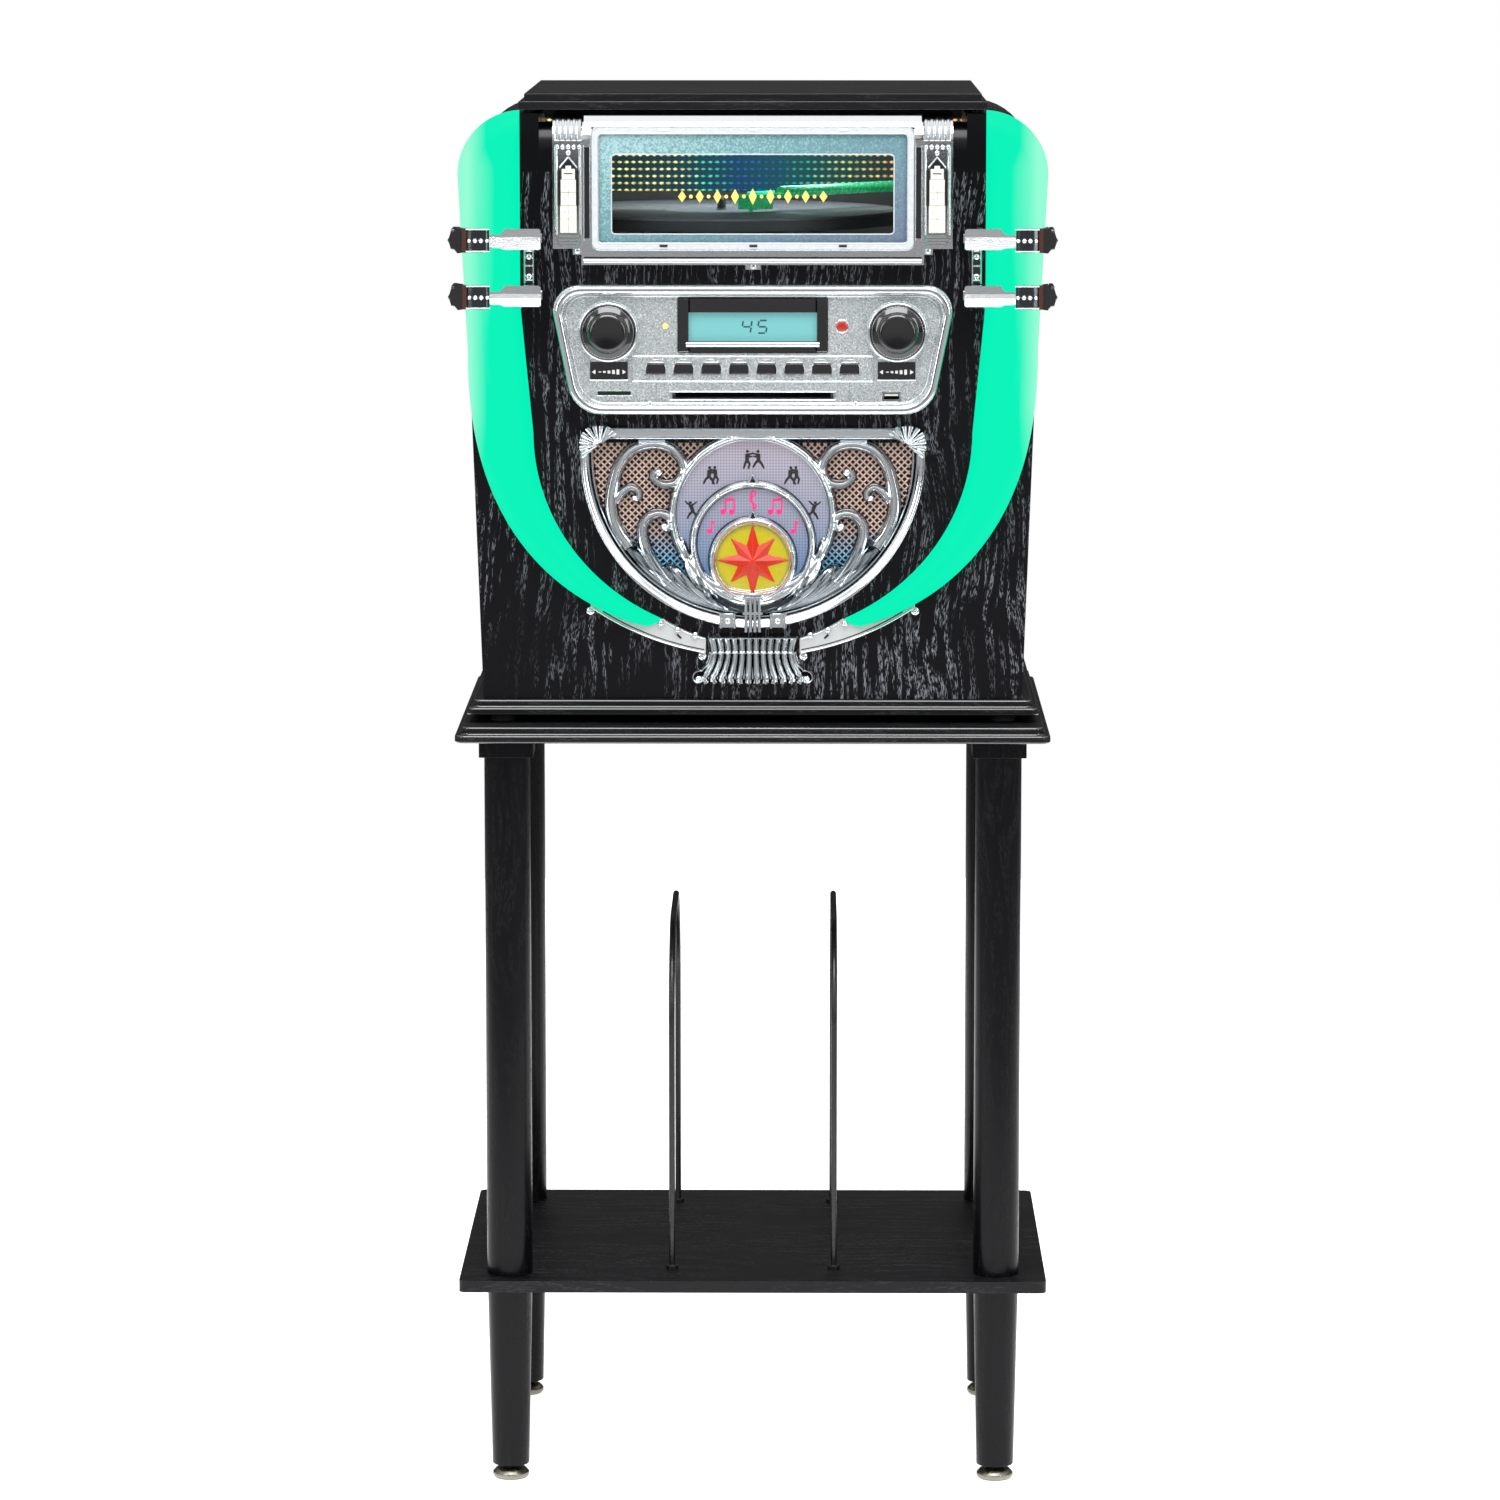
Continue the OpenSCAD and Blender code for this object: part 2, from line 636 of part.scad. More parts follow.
// The outline of button i, grown by d, between two depths
module button_block(i, d, y) {
    block([button_x(i) - button_w / 2 - d, button_x(i) + button_w / 2 + d], y,
        [button_z - button_h / 2 - d, button_z + button_h / 2 + d]);
}
module push_button(i) {
    front = ctl_face - button_travel - 1.8;
    flange_y = face_y + 1;
    flange_t = 1.5;
    color("#101012") union() {
        button_block(i, 0, [front, flange_y + 1]);
        button_block(i, 2, [flange_y, flange_y + flange_t]);
    }
}
module knob_stem(side) {
    collar_y = face_y + 1;
    color("#b0b0b0") difference() {
        union() {
            rod_y(side * knob_x, knob_z, ctl_face - 1.5, inner_y - 3, stem_r);
            rod_y(side * knob_x, knob_z, collar_y, collar_y + 2, stem_r + 2);
        }
        rod_y(side * knob_x, knob_z, ctl_face - 2, inner_y - 2, shaft_r + fit);
    }
}
// Skirt, chamfers and a raised cap on a shaft with a retaining collar at its inner end
module control_knob(side) {
    shaft_end = 1 - inner_y;
    skirt = 3.5 - ctl_face;
    cap_r = 15;
    color("#0c0c0e") translate([side * knob_x, 0, knob_z]) rotate([90, 0, 0])
        rotate_extrude() polygon([[0, shaft_end], [shaft_r + 1.2, shaft_end],
            [shaft_r + 1.2, shaft_end + 1.6], [shaft_r, shaft_end + 1.6], [shaft_r, skirt],
            [knob_r, skirt], [knob_r, skirt + 7.5], [knob_r - 3, skirt + 10.5],
            [cap_r + 1, skirt + 11.5], [cap_r, skirt + 14.5], [cap_r - 1, skirt + 15.5],
            [0, skirt + 15.5]]);
}

// ---------- speaker grille ----------
function grille_outline(d) = concat(
    [[grille_r - d, grille_z], [grille_r - d, grille_top - d],
        [d - grille_r, grille_top - d], [d - grille_r, grille_z]],
    [for (i = [1 : 35]) let (a = 180 + 5 * i)
        [(grille_r - d) * cos(a), grille_z + (grille_r - d) * sin(a)]]);
module disc_at(z, r) {
    translate([0, z]) circle(r = r);
}
module ring_2d(ring) {
    difference() {
        disc_at(ring[0], ring[1]);
        disc_at(ring[0], ring[2]);
    }
}
module grille_frame() {
    fan = face_y - 3.2;
    low = face_y - 5;
    color("#d8dade") {
        along_y(grille_front, face_y) difference() {
            polygon(grille_outline(0));
            polygon(grille_outline(grille_rim));
            disc_at(ring_big[0], ring_big[2] + 1);
        }
        along_y(grille_front + 1, fan) difference() {
            intersection() {
                polygon(grille_outline(grille_rim - e));
                union() {
                    ring_2d(ring_big);
                    translate([-140, fan_z - 70]) square([280, 70]);
                }
            }
            disc_at(ring_big[0], ring_big[2]);
            disc_at(ring_star[0], ring_star[2]);
        }
        along_y(grille_front + 2, low) difference() {
            intersection() {
                disc_at(ring_big[0], ring_big[2] + e);
                union() {
                    ring_2d(ring_mid);
                    disc_at(ring_star[0], ring_star[1]);
                }
            }
            disc_at(ring_star[0], ring_star[2]);
        }
    }
}
module grille_mesh() {
    color("#a88570") along_y(mesh_y[0], mesh_y[1]) polygon(grille_outline(grille_rim + gap));
}
module picture_panel() {
    color("#9a96a5") along_y(picture_y[0], picture_y[1]) difference() {
        disc_at(ring_big[0], ring_big[2] - slack);
        disc_at(ring_star[0], ring_star[2]);
    }
}
module star_medallion() {
    points = 8;
    tip_r = 27;
    root_r = 12;
    disc_front = face_y - 6;
    color("#e0482c") union() {
        along_y(disc_front, picture_y[1]) disc_at(ring_star[0], ring_star[2] - slack);
        along_y(disc_front - 4, disc_front + e) translate([0, ring_star[0]])
            polygon([for (i = [0 : 2 * points - 1])
                (i % 2 == 0 ? tip_r : root_r) * [sin(180 * i / points), cos(180 * i / points)]]);
    }
}
// Basket, magnet and cone, turned about the speaker's own axis
module speaker(side) {
    front = -inner_y;
    color("#222222") translate([side * speaker_x, 0, speaker_z]) rotate([90, 0, 0]) rotate_extrude()
        polygon([[0, front - 45], [28, front - 45], [28, front - 31], [18, front - 31],
            [18, front - 23], [44, front - 4], [50, front - 4], [50, front - 0.1],
            [42, front - 0.1], [42, front - 3.5], [15, front - 17], [0, front - 17]]);
}
module speakers() {
    for (s = [-1, 1]) speaker(s);
}
module lower_trim() {
    rim = [[0, cab_z + 265.6], 231.6];          // centre and radius of the lower edge
    dip = [[0, cab_z + 176.5], 132.5];          // the same for the edge beside the ornament
    end_x = [37.5, 130];
    dip_x = 72;
    color("#d8dade") for (s = [-1, 1]) mirrored(s) along_y(face_y - 5, face_y)
        polygon(concat(
            arc(rim[0], rim[1], -acos(end_x[0] / rim[1]), -acos(end_x[1] / rim[1]), 12),
            arch_run(grown(arch_out, gap), end_x[1], 96, 6),
            arc(dip[0], dip[1], -acos(dip_x / dip[1]), -acos(end_x[0] / dip[1]))));
}
module foot_ornament() {
    depth = 11;
    volute = [43, cab_z + 17];
    profile = [for (p = [[36, 51], [33, 38], [37, 26], [44, 18], [49, 12]]) [p[0], cab_z + p[1]]];
    color("#d8dade") union() {
        along_y(face_y - depth, face_y)
            polygon(concat(profile, flip(profile)));
        for (s = [-1, 1]) rod_y(s * volute[0], volute[1], face_y - depth - 2, face_y, 6.5);
    }
}

// ---------- record player ----------
// A flat disc with a belt ring and a hub underneath, on a shaft that ends in the spindle
module platter() {
    hub_r = 9;
    shaft_z = deck_z - 12;
    ring_in = belt_ring_r - 4;
    pin_z = mat_top + spindle_h;
    tip_h = 3;
    color("#2a2a2c") translate([plat[0], plat[1], 0]) rotate_extrude()
        polygon([[0, shaft_z], [bearing_r, shaft_z], [bearing_r, plat_z - 1],
            [hub_r, plat_z - 1], [hub_r, plat_low], [ring_in, plat_low], [ring_in, plat_z],
            [belt_ring_r, plat_z], [belt_ring_r, plat_low], [platter_r, plat_low],
            [platter_r, plat_top], [bearing_r, plat_top], [bearing_r, mat_top],
            [spindle_r, mat_top], [spindle_r, pin_z], [spindle_r - 1.5, pin_z + tip_h],
            [0, pin_z + tip_h]]);
}
module platter_mat() {
    color("#18181a") difference() {
        rod_z(plat, plat_top, mat_top, platter_r - 1);
        rod_z(plat, plat_top - e, mat_top + e, bearing_r + slack);
    }
}
module belt_loop(grow) {
    hull() {
        translate(plat) circle(r = belt_ring_r + grow);
        translate(pulley_at) circle(r = pulley_r + grow);
    }
}
module drive_belt() {
    belt_h = 4;
    color("#080808") translate([0, 0, plat_z + 3]) linear_extrude(belt_h) difference() {
        belt_loop(1.3);
        belt_loop(gap);
    }
}
module motor() {
    color("#8c9094") difference() {
        rod_z(pulley_at, deck_z - 36, deck_z, 18);
        rod_z(pulley_at, deck_z - 12, deck_z + e, pulley_shaft_r + fit);
    }
}
module motor_pulley() {
    color("#c9a85a") union() {
        rod_z(pulley_at, deck_z - 10, plat_z + 2, pulley_shaft_r);
        rod_z(pulley_at, plat_z + 1, plat_z + 8, pulley_r);
    }
}
module on_arm() {
    translate([arm_at[0], arm_at[1], 0]) rotate([0, 0, arm_dir]) children();
}
// A stepped turret with two cheeks that carry the arm's cross pin
module tonearm_turret() {
    foot_z = deck_up + 8;
    neck_z = deck_up + 24;
    cheek_y = [10, 13];
    color("#2c2c2e") on_arm() difference() {
        union() {
            rod_z([0, 0], deck_z - 14, foot_z, turret_r);
            rod_z([0, 0], deck_up + gap, foot_z, 14);
            rod_z([0, 0], foot_z - 1, neck_z, 11);
            block([-6, 6], [-cheek_y[1], cheek_y[1]], [neck_z - 3, neck_z + 3]);
            for (side = [0, 1]) mirror([0, side, 0])
                block([-6, 6], cheek_y, [neck_z - 1, arm_z + 5]);
        }
        rotate([0, 0, 90]) rod_x(0, arm_z, -20, 20, hinge_pin_r + fit);
    }
}
module tonearm() {
    tube_r = 4.5;
    weight_r = 13;
    shell = [180, 226];
    color("#d0d2d4") on_arm() union() {
        rod_x(0, arm_z, -52, shell[0] + 2, tube_r);
        rod_x(0, arm_z, -50, -24, weight_r);
        block([-7, 7], [-8, 8], [arm_z - 6, arm_z + 6]);
        rotate([0, 0, 90]) rod_x(0, arm_z, -13, 13, hinge_pin_r);
        block(shell, [-9, 9], [arm_z - 4.5, arm_z - 1]);
        block([198, 222], [-8, 8], [arm_z - 13, arm_z - 4]);
        translate([arm_len, 0, mat_top + 0.4]) cylinder(r1 = 0.6, r2 = 2, h = 3);
    }
}
module cue_lever() {
    x = cue_at[0];
    reach = 36;
    color("#c8ccd0") union() {
        rod_x(cue_at[1], cue_at[2], x - 10, x + 10, shaft_r);
        block([x - 3, x + 3], [cue_at[1] - reach, cue_at[1]], [cue_at[2] - 2, cue_at[2] + 2.5]);
    }
}
module speed_selector() {
    dial_r = 10;
    color("#0c0c0e") union() {
        rod_z(selector_at, deck_z - 4, deck_up + 2, shaft_r);
        rod_z(selector_at, deck_up + gap, deck_up + 9, dial_r);
        translate([selector_at[0], selector_at[1], 0])
            block([-1.5, 1.5], [-dial_r, dial_r], [deck_up + 8, deck_up + 12]);
    }
}
// A plate with a two-pin mains inlet and four phono sockets
module jack_panel() {
    wall = 4;
    plate_t = 1.6;
    pin_bore_r = 1.6;
    color("#1c1c1e") difference() {
        union() {
            block([-60, 60], [back_y, back_y + plate_t], [cab_z + 54, cab_z + 118]);
            block(inlet_x, [rear_y - 2, back_y + 2.5], inlet_z);
            for (x = jack_x, z = jack_z) rod_y(x, z, back_y - 6, back_y + 7, 4.2);
        }
        block([inlet_x[0] + wall, inlet_x[1] - wall], [back_y - 6, back_y + 3],
            [inlet_z[0] + wall, inlet_z[1] - wall]);
        for (x = jack_x, z = jack_z) rod_y(x, z, back_y, back_y + 8, pin_bore_r);
    }
}

stand_top();
leg_blocks();
upper_legs();
lower_legs();
foot_glides();
shelf();
record_divider(-1);  // record_divider_left
record_divider(1);  // record_divider_right
fasteners();
base_plate();
rubber_feet();
front_panel();
side_panel(-1);  // side_panel_left
side_panel(1);  // side_panel_right
rear_panel();
turntable_deck();
lid();
hinge_fixed_leaves();
hinge_lid_leaves();
arch_tube(-1);  // arch_tube_left
arch_tube(1);  // arch_tube_right
led_strips();
arch_clamp(-1);  // arch_clamp_left
arch_clamp(1);  // arch_clamp_right
window_frame();
window_pane();
foil_panel();
control_panel();
lcd_module();
cd_mechanism();
circuit_boards();
push_button(0);  // button_1
push_button(1);  // button_2
push_button(2);  // button_3
push_button(3);  // button_4
push_button(4);  // button_5
push_button(5);  // button_6
push_button(6);  // button_7
push_button(7);  // button_8
knob_stem(-1);  // volume_stem
control_knob(-1);  // volume_knob
knob_stem(1);  // tuning_stem
control_knob(1);  // tuning_knob
grille_frame();
grille_mesh();
picture_panel();
star_medallion();
speakers();
lower_trim();
foot_ornament();
platter();
platter_mat();
drive_belt();
motor();
motor_pulley();
tonearm_turret();
tonearm();
cue_lever();
speed_selector();
jack_panel();
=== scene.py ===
"""The looks of the jukebox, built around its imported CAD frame. Shapes are in millimetres; new_mesh() makes
them metres."""

import contextlib
import json
import math

import bmesh
import bpy
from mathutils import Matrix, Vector


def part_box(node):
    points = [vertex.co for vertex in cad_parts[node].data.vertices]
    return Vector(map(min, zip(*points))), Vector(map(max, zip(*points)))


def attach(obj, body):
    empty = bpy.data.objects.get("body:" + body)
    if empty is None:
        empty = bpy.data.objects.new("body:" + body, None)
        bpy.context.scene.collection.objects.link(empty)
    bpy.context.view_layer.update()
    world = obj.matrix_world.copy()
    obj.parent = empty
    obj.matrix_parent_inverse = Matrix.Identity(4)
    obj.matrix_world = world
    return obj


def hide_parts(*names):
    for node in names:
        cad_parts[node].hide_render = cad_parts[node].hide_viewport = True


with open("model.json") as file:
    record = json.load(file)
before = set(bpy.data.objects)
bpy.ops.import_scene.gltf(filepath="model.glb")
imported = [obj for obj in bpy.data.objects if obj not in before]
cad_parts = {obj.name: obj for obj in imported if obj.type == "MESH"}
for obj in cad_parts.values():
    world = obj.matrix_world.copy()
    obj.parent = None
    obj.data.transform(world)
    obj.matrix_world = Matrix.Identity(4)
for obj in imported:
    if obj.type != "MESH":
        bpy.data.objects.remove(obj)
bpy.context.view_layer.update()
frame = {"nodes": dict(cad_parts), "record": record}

MM = 0.001
BODIES = frame["record"]["behaviour"]["bodies"]
BODY_OF = {node: body for body, nodes in BODIES.items() for node in nodes}


def span(node):
    """Lowest and highest corner of a CAD node, in millimetres."""
    low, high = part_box(node)
    return low / MM, high / MM


FACE = span("side_panel_left")[0].y - 12      # the front of the cabinet
GRILLE_LOW = span("grille_frame")[0]
WIN_LOW, WIN_HIGH = span("window_frame")
PANE_LOW, PANE_HIGH = span("window_pane")
CTL_LOW, CTL_HIGH = span("control_panel")
CTL_FACE = -155.0


# ---------------------------------------------------------------- camera, floor, light
def make_camera():
    camera = bpy.data.cameras.new("camera")
    camera.lens = 147.6
    camera.sensor_width = 36
    camera.clip_end = 60
    holder = bpy.data.objects.new("camera", camera)
    holder.location = (0.0376, -5.045, 1.303)
    holder.rotation_euler = (math.radians(90 - 8.14), 0, math.radians(0.466))
    bpy.context.collection.objects.link(holder)
    bpy.context.scene.camera = holder


def softbox(name, place, aim, size, power, colour=(1, 1, 1)):
    light = bpy.data.lights.new(name, "AREA")
    light.shape = "RECTANGLE"
    light.size, light.size_y = size
    light.energy = power
    light.color = colour
    holder = bpy.data.objects.new(name, light)
    holder.location = place
    holder.rotation_euler = (Vector(aim) - Vector(place)).to_track_quat("-Z", "Y").to_euler()
    bpy.context.collection.objects.link(holder)


def make_studio():
    """White to the camera. Everything else sees a soft room, dark at the horizon and behind, so that plating
    has shape."""
    scene = bpy.context.scene
    scene.view_settings.view_transform = "Standard"
    world = bpy.data.worlds.new("studio")
    world.use_nodes = True
    scene.world = world
    tree = world.node_tree
    backdrop = tree.nodes["Background"]
    backdrop.inputs["Color"].default_value = (1, 1, 1, 1)
    axes = axes_of(tree, "Generated")
    height = maths(tree, "MULTIPLY_ADD", axes["Z"], 0.5, 0.5)
    ahead = ramp(tree, height, (0, 0.6), (0.3, 0.55), (0.475, 0.42), (0.493, 0.04), (0.535, 0.02),
                 (0.58, 0.5), (0.8, 0.8), (1, 1.1))
    behind = ramp(tree, height, (0, 0.4), (0.45, 0.05), (0.66, 0.03), (0.8, 0.5), (1, 1.1))
    room = blended(tree, ramp(tree, axes["Y"], (0, 0), (0.25, 1)), ahead, behind)
    dim = add(tree, "ShaderNodeBackground", Color=room, Strength=1.0)
    path = add(tree, "ShaderNodeLightPath")
    mix = add(tree, "ShaderNodeMixShader", Fac=path.outputs["Is Camera Ray"])
    tree.links.new(dim.outputs[0], mix.inputs[1])
    tree.links.new(backdrop.outputs[0], mix.inputs[2])
    tree.links.new(mix.outputs[0], tree.nodes["World Output"].inputs["Surface"])
    softbox("key_left", (-2.4, -2.7, 1.9), (0, 0, 0.85), (0.7, 2.0), 26)
    softbox("key_right", (2.4, -2.7, 1.7), (0, 0, 0.85), (0.7, 2.0), 23)
    softbox("overhead", (0, -1.5, 3.0), (0, 0, 0.9), (2.2, 1.5), 78)


# ---------------------------------------------------------------- shader helpers
def join(tree, socket, value):
    """Links a socket to another one, or sets its value."""
    if isinstance(value, bpy.types.NodeSocket):
        tree.links.new(value, socket)
    else:
        socket.default_value = value


def add(tree, kind, setting=(), **inputs):
    """Adds a node with its settings and inputs."""
    node = tree.nodes.new(kind)
    for key, value in dict(setting).items():
        setattr(node, key, value)
    for key, value in inputs.items():
        join(tree, node.inputs[key.replace("__", " ")], value)
    return node


def triple(value):
    """A grey or an even scale from one number; anything else as it is."""
    return (value,) * 3 if isinstance(value, (int, float)) else value


def material(name, colour, rough=0.4, metal=0.0, glow=None, **more):
    """A plain material; glow is a strength and a colour."""
    made = bpy.data.materials.new(name)
    made.use_nodes = True
    inputs = made.node_tree.nodes["Principled BSDF"].inputs
    inputs["Base Color"].default_value = (*colour, 1)
    inputs["Roughness"].default_value = rough
    inputs["Metallic"].default_value = metal
    if glow:
        inputs["Emission Strength"].default_value = glow[0]
        inputs["Emission Color"].default_value = (*glow[1], 1)
    for key, value in more.items():
        inputs[key.replace("__", " ")].default_value = value
    return made


def feed(made, socket, source):
    tree = made.node_tree
    tree.links.new(source, tree.nodes["Principled BSDF"].inputs[socket])


def axes_of(tree, coords="Object"):
    """A place's X, Y and Z, in metres."""
    source = add(tree, "ShaderNodeTexCoord").outputs[coords]
    return add(tree, "ShaderNodeSeparateXYZ", Vector=source).outputs


def place_of(tree, scale):
    """Object coordinates in metres, scaled along each axis."""
    coords = add(tree, "ShaderNodeTexCoord")
    return add(tree, "ShaderNodeMapping", Vector=coords.outputs["Object"], Scale=triple(scale)).outputs[0]


def noise(tree, scale, detail=3.0):
    node = add(tree, "ShaderNodeTexNoise", Vector=place_of(tree, scale), Scale=1.0, Detail=detail)
    return node.outputs["Fac"]


def ramp(tree, source, *stops):
    """A colour ramp; each stop is a place and a colour or a grey."""
    node = add(tree, "ShaderNodeValToRGB", Fac=source)
    bar = node.color_ramp.elements
    while len(bar) < len(stops):
        bar.new(1.0)
    for slot, (where, colour) in zip(bar, stops):
        slot.position = where
        slot.color = (*triple(colour), 1)
    return node.outputs["Color"]


def maths(tree, what, *values):
    node = add(tree, "ShaderNodeMath", {"operation": what})
    for socket, value in zip(node.inputs, values):
        join(tree, socket, value)
    return node.outputs[0]


def blended(tree, share, low, high, mode="MIX"):
    node = add(tree, "ShaderNodeMix", {"data_type": "RGBA", "blend_type": mode})
    for socket, value in ((0, share), (6, low), (7, high)):
        join(tree, node.inputs[socket], value)
    return node.outputs[2]


def bump(made, height, depth):
    node = add(made.node_tree, "ShaderNodeBump", Height=height, Distance=depth, Strength=1.0)
    feed(made, "Normal", node.outputs[0])


def uneven(made, low, high, size=140.0, depth=0.00004):
    """Handling marks: roughness that varies, and a very fine ripple."""
    tree = made.node_tree
    feed(made, "Roughness", ramp(tree, noise(tree, size), (0.3, low), (0.7, high)))
    bump(made, noise(tree, size * 8), depth)
    return made


def finish(name, colour, rough, metal, *marks, **more):
    """A material with handling marks: low and high roughness, their size, and the ripple's depth."""
    return uneven(material(name, colour, rough, metal, **more), *marks)


def ash(name, along, show, gloss=0.05, smooth=0.22, shine=0.25, plain_above=None, wrapped=False):
    """Black-stained ash: short open pores in wavy columns, in clusters; show is how grey they are. Wrapped is
    for one veneer that runs up a side and over its shoulder."""
    black = (0.002, 0.002, 0.003)
    made = material(name, black, 0.2, Specular__IOR__Level=shine, Coat__Weight=gloss, Coat__Roughness=0.14)
    tree = made.node_tree
    where = add(tree, "ShaderNodeTexCoord").outputs["Object"]
    axes = add(tree, "ShaderNodeSeparateXYZ", Vector=where).outputs
    if wrapped:
        run = maths(tree, "SUBTRACT", axes["Z"], maths(tree, "ABSOLUTE", axes["X"]))
        where = add(tree, "ShaderNodeCombineXYZ", Y=axes["Y"], Z=run).outputs[0]
    drift = add(tree, "ShaderNodeTexNoise", Vector=place_of(tree, stretch(along, 7.0, 6.0)), Scale=1.0,
                Detail=1.0)
    shift = add(tree, "ShaderNodeVectorMath", {"operation": "MULTIPLY_ADD"})
    for socket, value in zip(shift.inputs, (drift.outputs["Color"], stretch(along, 0.05, 0.0), where)):
        join(tree, socket, value)

    def figure(across, down, detail, low, high, least=0.0):
        scaled = add(tree, "ShaderNodeMapping", Vector=shift.outputs[0], Scale=stretch(along, across, down))
        grain = add(tree, "ShaderNodeTexNoise", Vector=scaled.outputs[0], Scale=1.0, Detail=detail)
        return ramp(tree, grain.outputs["Fac"], (low, least), (high, 1))

    pores = figure(1250.0, 190.0, 2.0, 0.49, 0.6)
    columns = figure(290.0, 5.0, 0.0, 0.46, 0.6)
    patches = figure(13.0, 7.0, 2.0, 0.33, 0.52, 0.1)
    streak = maths(tree, "MULTIPLY", maths(tree, "MULTIPLY", pores, columns), patches)
    if plain_above:
        fainter = ramp(tree, axes["Z"], (0.69, 1), (0.76, 0.62))
        streak = maths(tree, "MULTIPLY", streak, fainter)
        streak = maths(tree, "MULTIPLY", streak, maths(tree, "LESS_THAN", axes["Z"], plain_above))
    tint = [0.002 + show * v for v in (0.3, 0.31, 0.35)]
    feed(made, "Base Color", ramp(tree, streak, (0.05, black), (0.8, tint)))
    feed(made, "Roughness", ramp(tree, streak, (0, smooth), (1, 0.6)))
    bump(made, maths(tree, "SUBTRACT", 1.0, streak), 0.00012)
    return made


def stretch(along, across, down):
    """A scale for each axis: down the grain, or across it."""
    return tuple(down if axis == along else across for axis in "xyz")


def glitter(name, dark, light, rough=0.32):
    """Metallic flake paint: each tiny cell has its own brightness."""
    made = material(name, dark, rough, 0.75)
    tree = made.node_tree
    cells = add(tree, "ShaderNodeTexVoronoi", Vector=place_of(tree, 1500.0), Scale=1.0)
    flake, other = add(tree, "ShaderNodeSeparateColor", Color=cells.outputs["Color"]).outputs[:2]
    feed(made, "Base Color", ramp(tree, flake, (0, dark), (0.8, light), (1, 0.95)))
    feed(made, "Roughness", ramp(tree, other, (0, rough - 0.1), (1, rough + 0.15)))
    bump(made, flake, 0.00005)
    return made


def glow_material():
    """Glowing plastic, paler where the mesh's stored number "edge" is high."""
    made = material("arch_glow", (0.0, 0.005, 0.004), 0.6, Emission__Strength=0.97, Specular__IOR__Level=0.05)
    tree = made.node_tree
    edge = add(tree, "ShaderNodeAttribute", {"attribute_name": "edge"})
    place = maths(tree, "ADD", edge.outputs["Fac"], maths(tree, "MULTIPLY_ADD", noise(tree, 14), 0.12, -0.06))
    inner, outer = (0.0, 0.92, 0.50), (0.31, 1.0, 0.70)
    feed(made, "Emission Color", ramp(tree, place, (0, inner), (0.12, inner), (0.9, outer)))
    bump(made, noise(tree, 90), 0.00003)
    return made


def foil_material():
    """Holographic foil: rows of small diamonds that glow as painted glints, in a colour that drifts along the
    wall; the ground between them glows faintly.
    """
    made = material("foil", (0.004, 0.01, 0.012), 0.5, Emission__Strength=2.1, Specular__IOR__Level=0.1)
    tree = made.node_tree
    pitch = 1 / (5.9 * MM)
    axes = axes_of(tree)

    def saw(socket, reach):
        part = maths(tree, "FRACT", maths(tree, "MULTIPLY", socket, pitch))
        return maths(tree, "MULTIPLY", maths(tree, "ABSOLUTE", maths(tree, "SUBTRACT", part, 0.5)), reach)

    dot = ramp(tree, maths(tree, "ADD", saw(axes["X"], 1.0), saw(axes["Z"], 1.9)), (0.28, 1), (0.44, 0))
    along = maths(tree, "MULTIPLY_ADD", axes["X"], 3.6, 0.5)
    painted_glint_hue = ramp(tree, along, (0.1, (1.0, 0.75, 0.22)), (0.27, (0.8, 0.72, 0.2)), (0.34, (0.05, 0.6, 0.3)),
               (0.44, (0.0, 0.07, 0.3)), (0.58, (0.0, 0.06, 0.2)), (0.66, (0.02, 0.35, 0.2)),
               (0.78, (0.55, 0.5, 0.1)), (0.92, (0.9, 0.35, 0.12)))
    ground = ramp(tree, along, (0.1, (0.001, 0.012, 0.014)), (0.45, (0.0, 0.02, 0.045)),
                  (0.6, (0.0, 0.032, 0.036)), (0.9, (0.004, 0.014, 0.012)))
    painted_glint = ramp(tree, noise(tree, 260), (0.4, 0.45), (0.6, 1))
    feed(made, "Emission Color", blended(tree, maths(tree, "MULTIPLY", dot, painted_glint), ground, painted_glint_hue))
    bump(made, dot, 0.0002)
    return made


def frost_material():
    """Frosted film, teal at its upper left and blue-grey at its lower right, with a fine sparkle."""
    made = material("frosted_border", (0.1, 0.2, 0.21), 0.45, Emission__Strength=0.04)
    tree = made.node_tree
    axes = axes_of(tree)
    down, across = (maths(tree, "MULTIPLY", axes[axis], share) for axis, share in (("Z", 5.0), ("X", 2.0)))
    slant = maths(tree, "SUBTRACT", down, across)
    grain = maths(tree, "MULTIPLY_ADD", noise(tree, 700, 4.0), 1.6, -0.8)
    tone = ramp(tree, maths(tree, "ADD", maths(tree, "ADD", slant, -4.75), grain), (0, (0.1, 0.13, 0.2)),
                (0.35, (0.11, 0.19, 0.24)), (0.65, (0.12, 0.27, 0.28)), (1, (0.3, 0.46, 0.48)))
    feed(made, "Base Color", tone)
    feed(made, "Emission Color", tone)
    bump(made, noise(tree, 900), 0.00006)
    return made


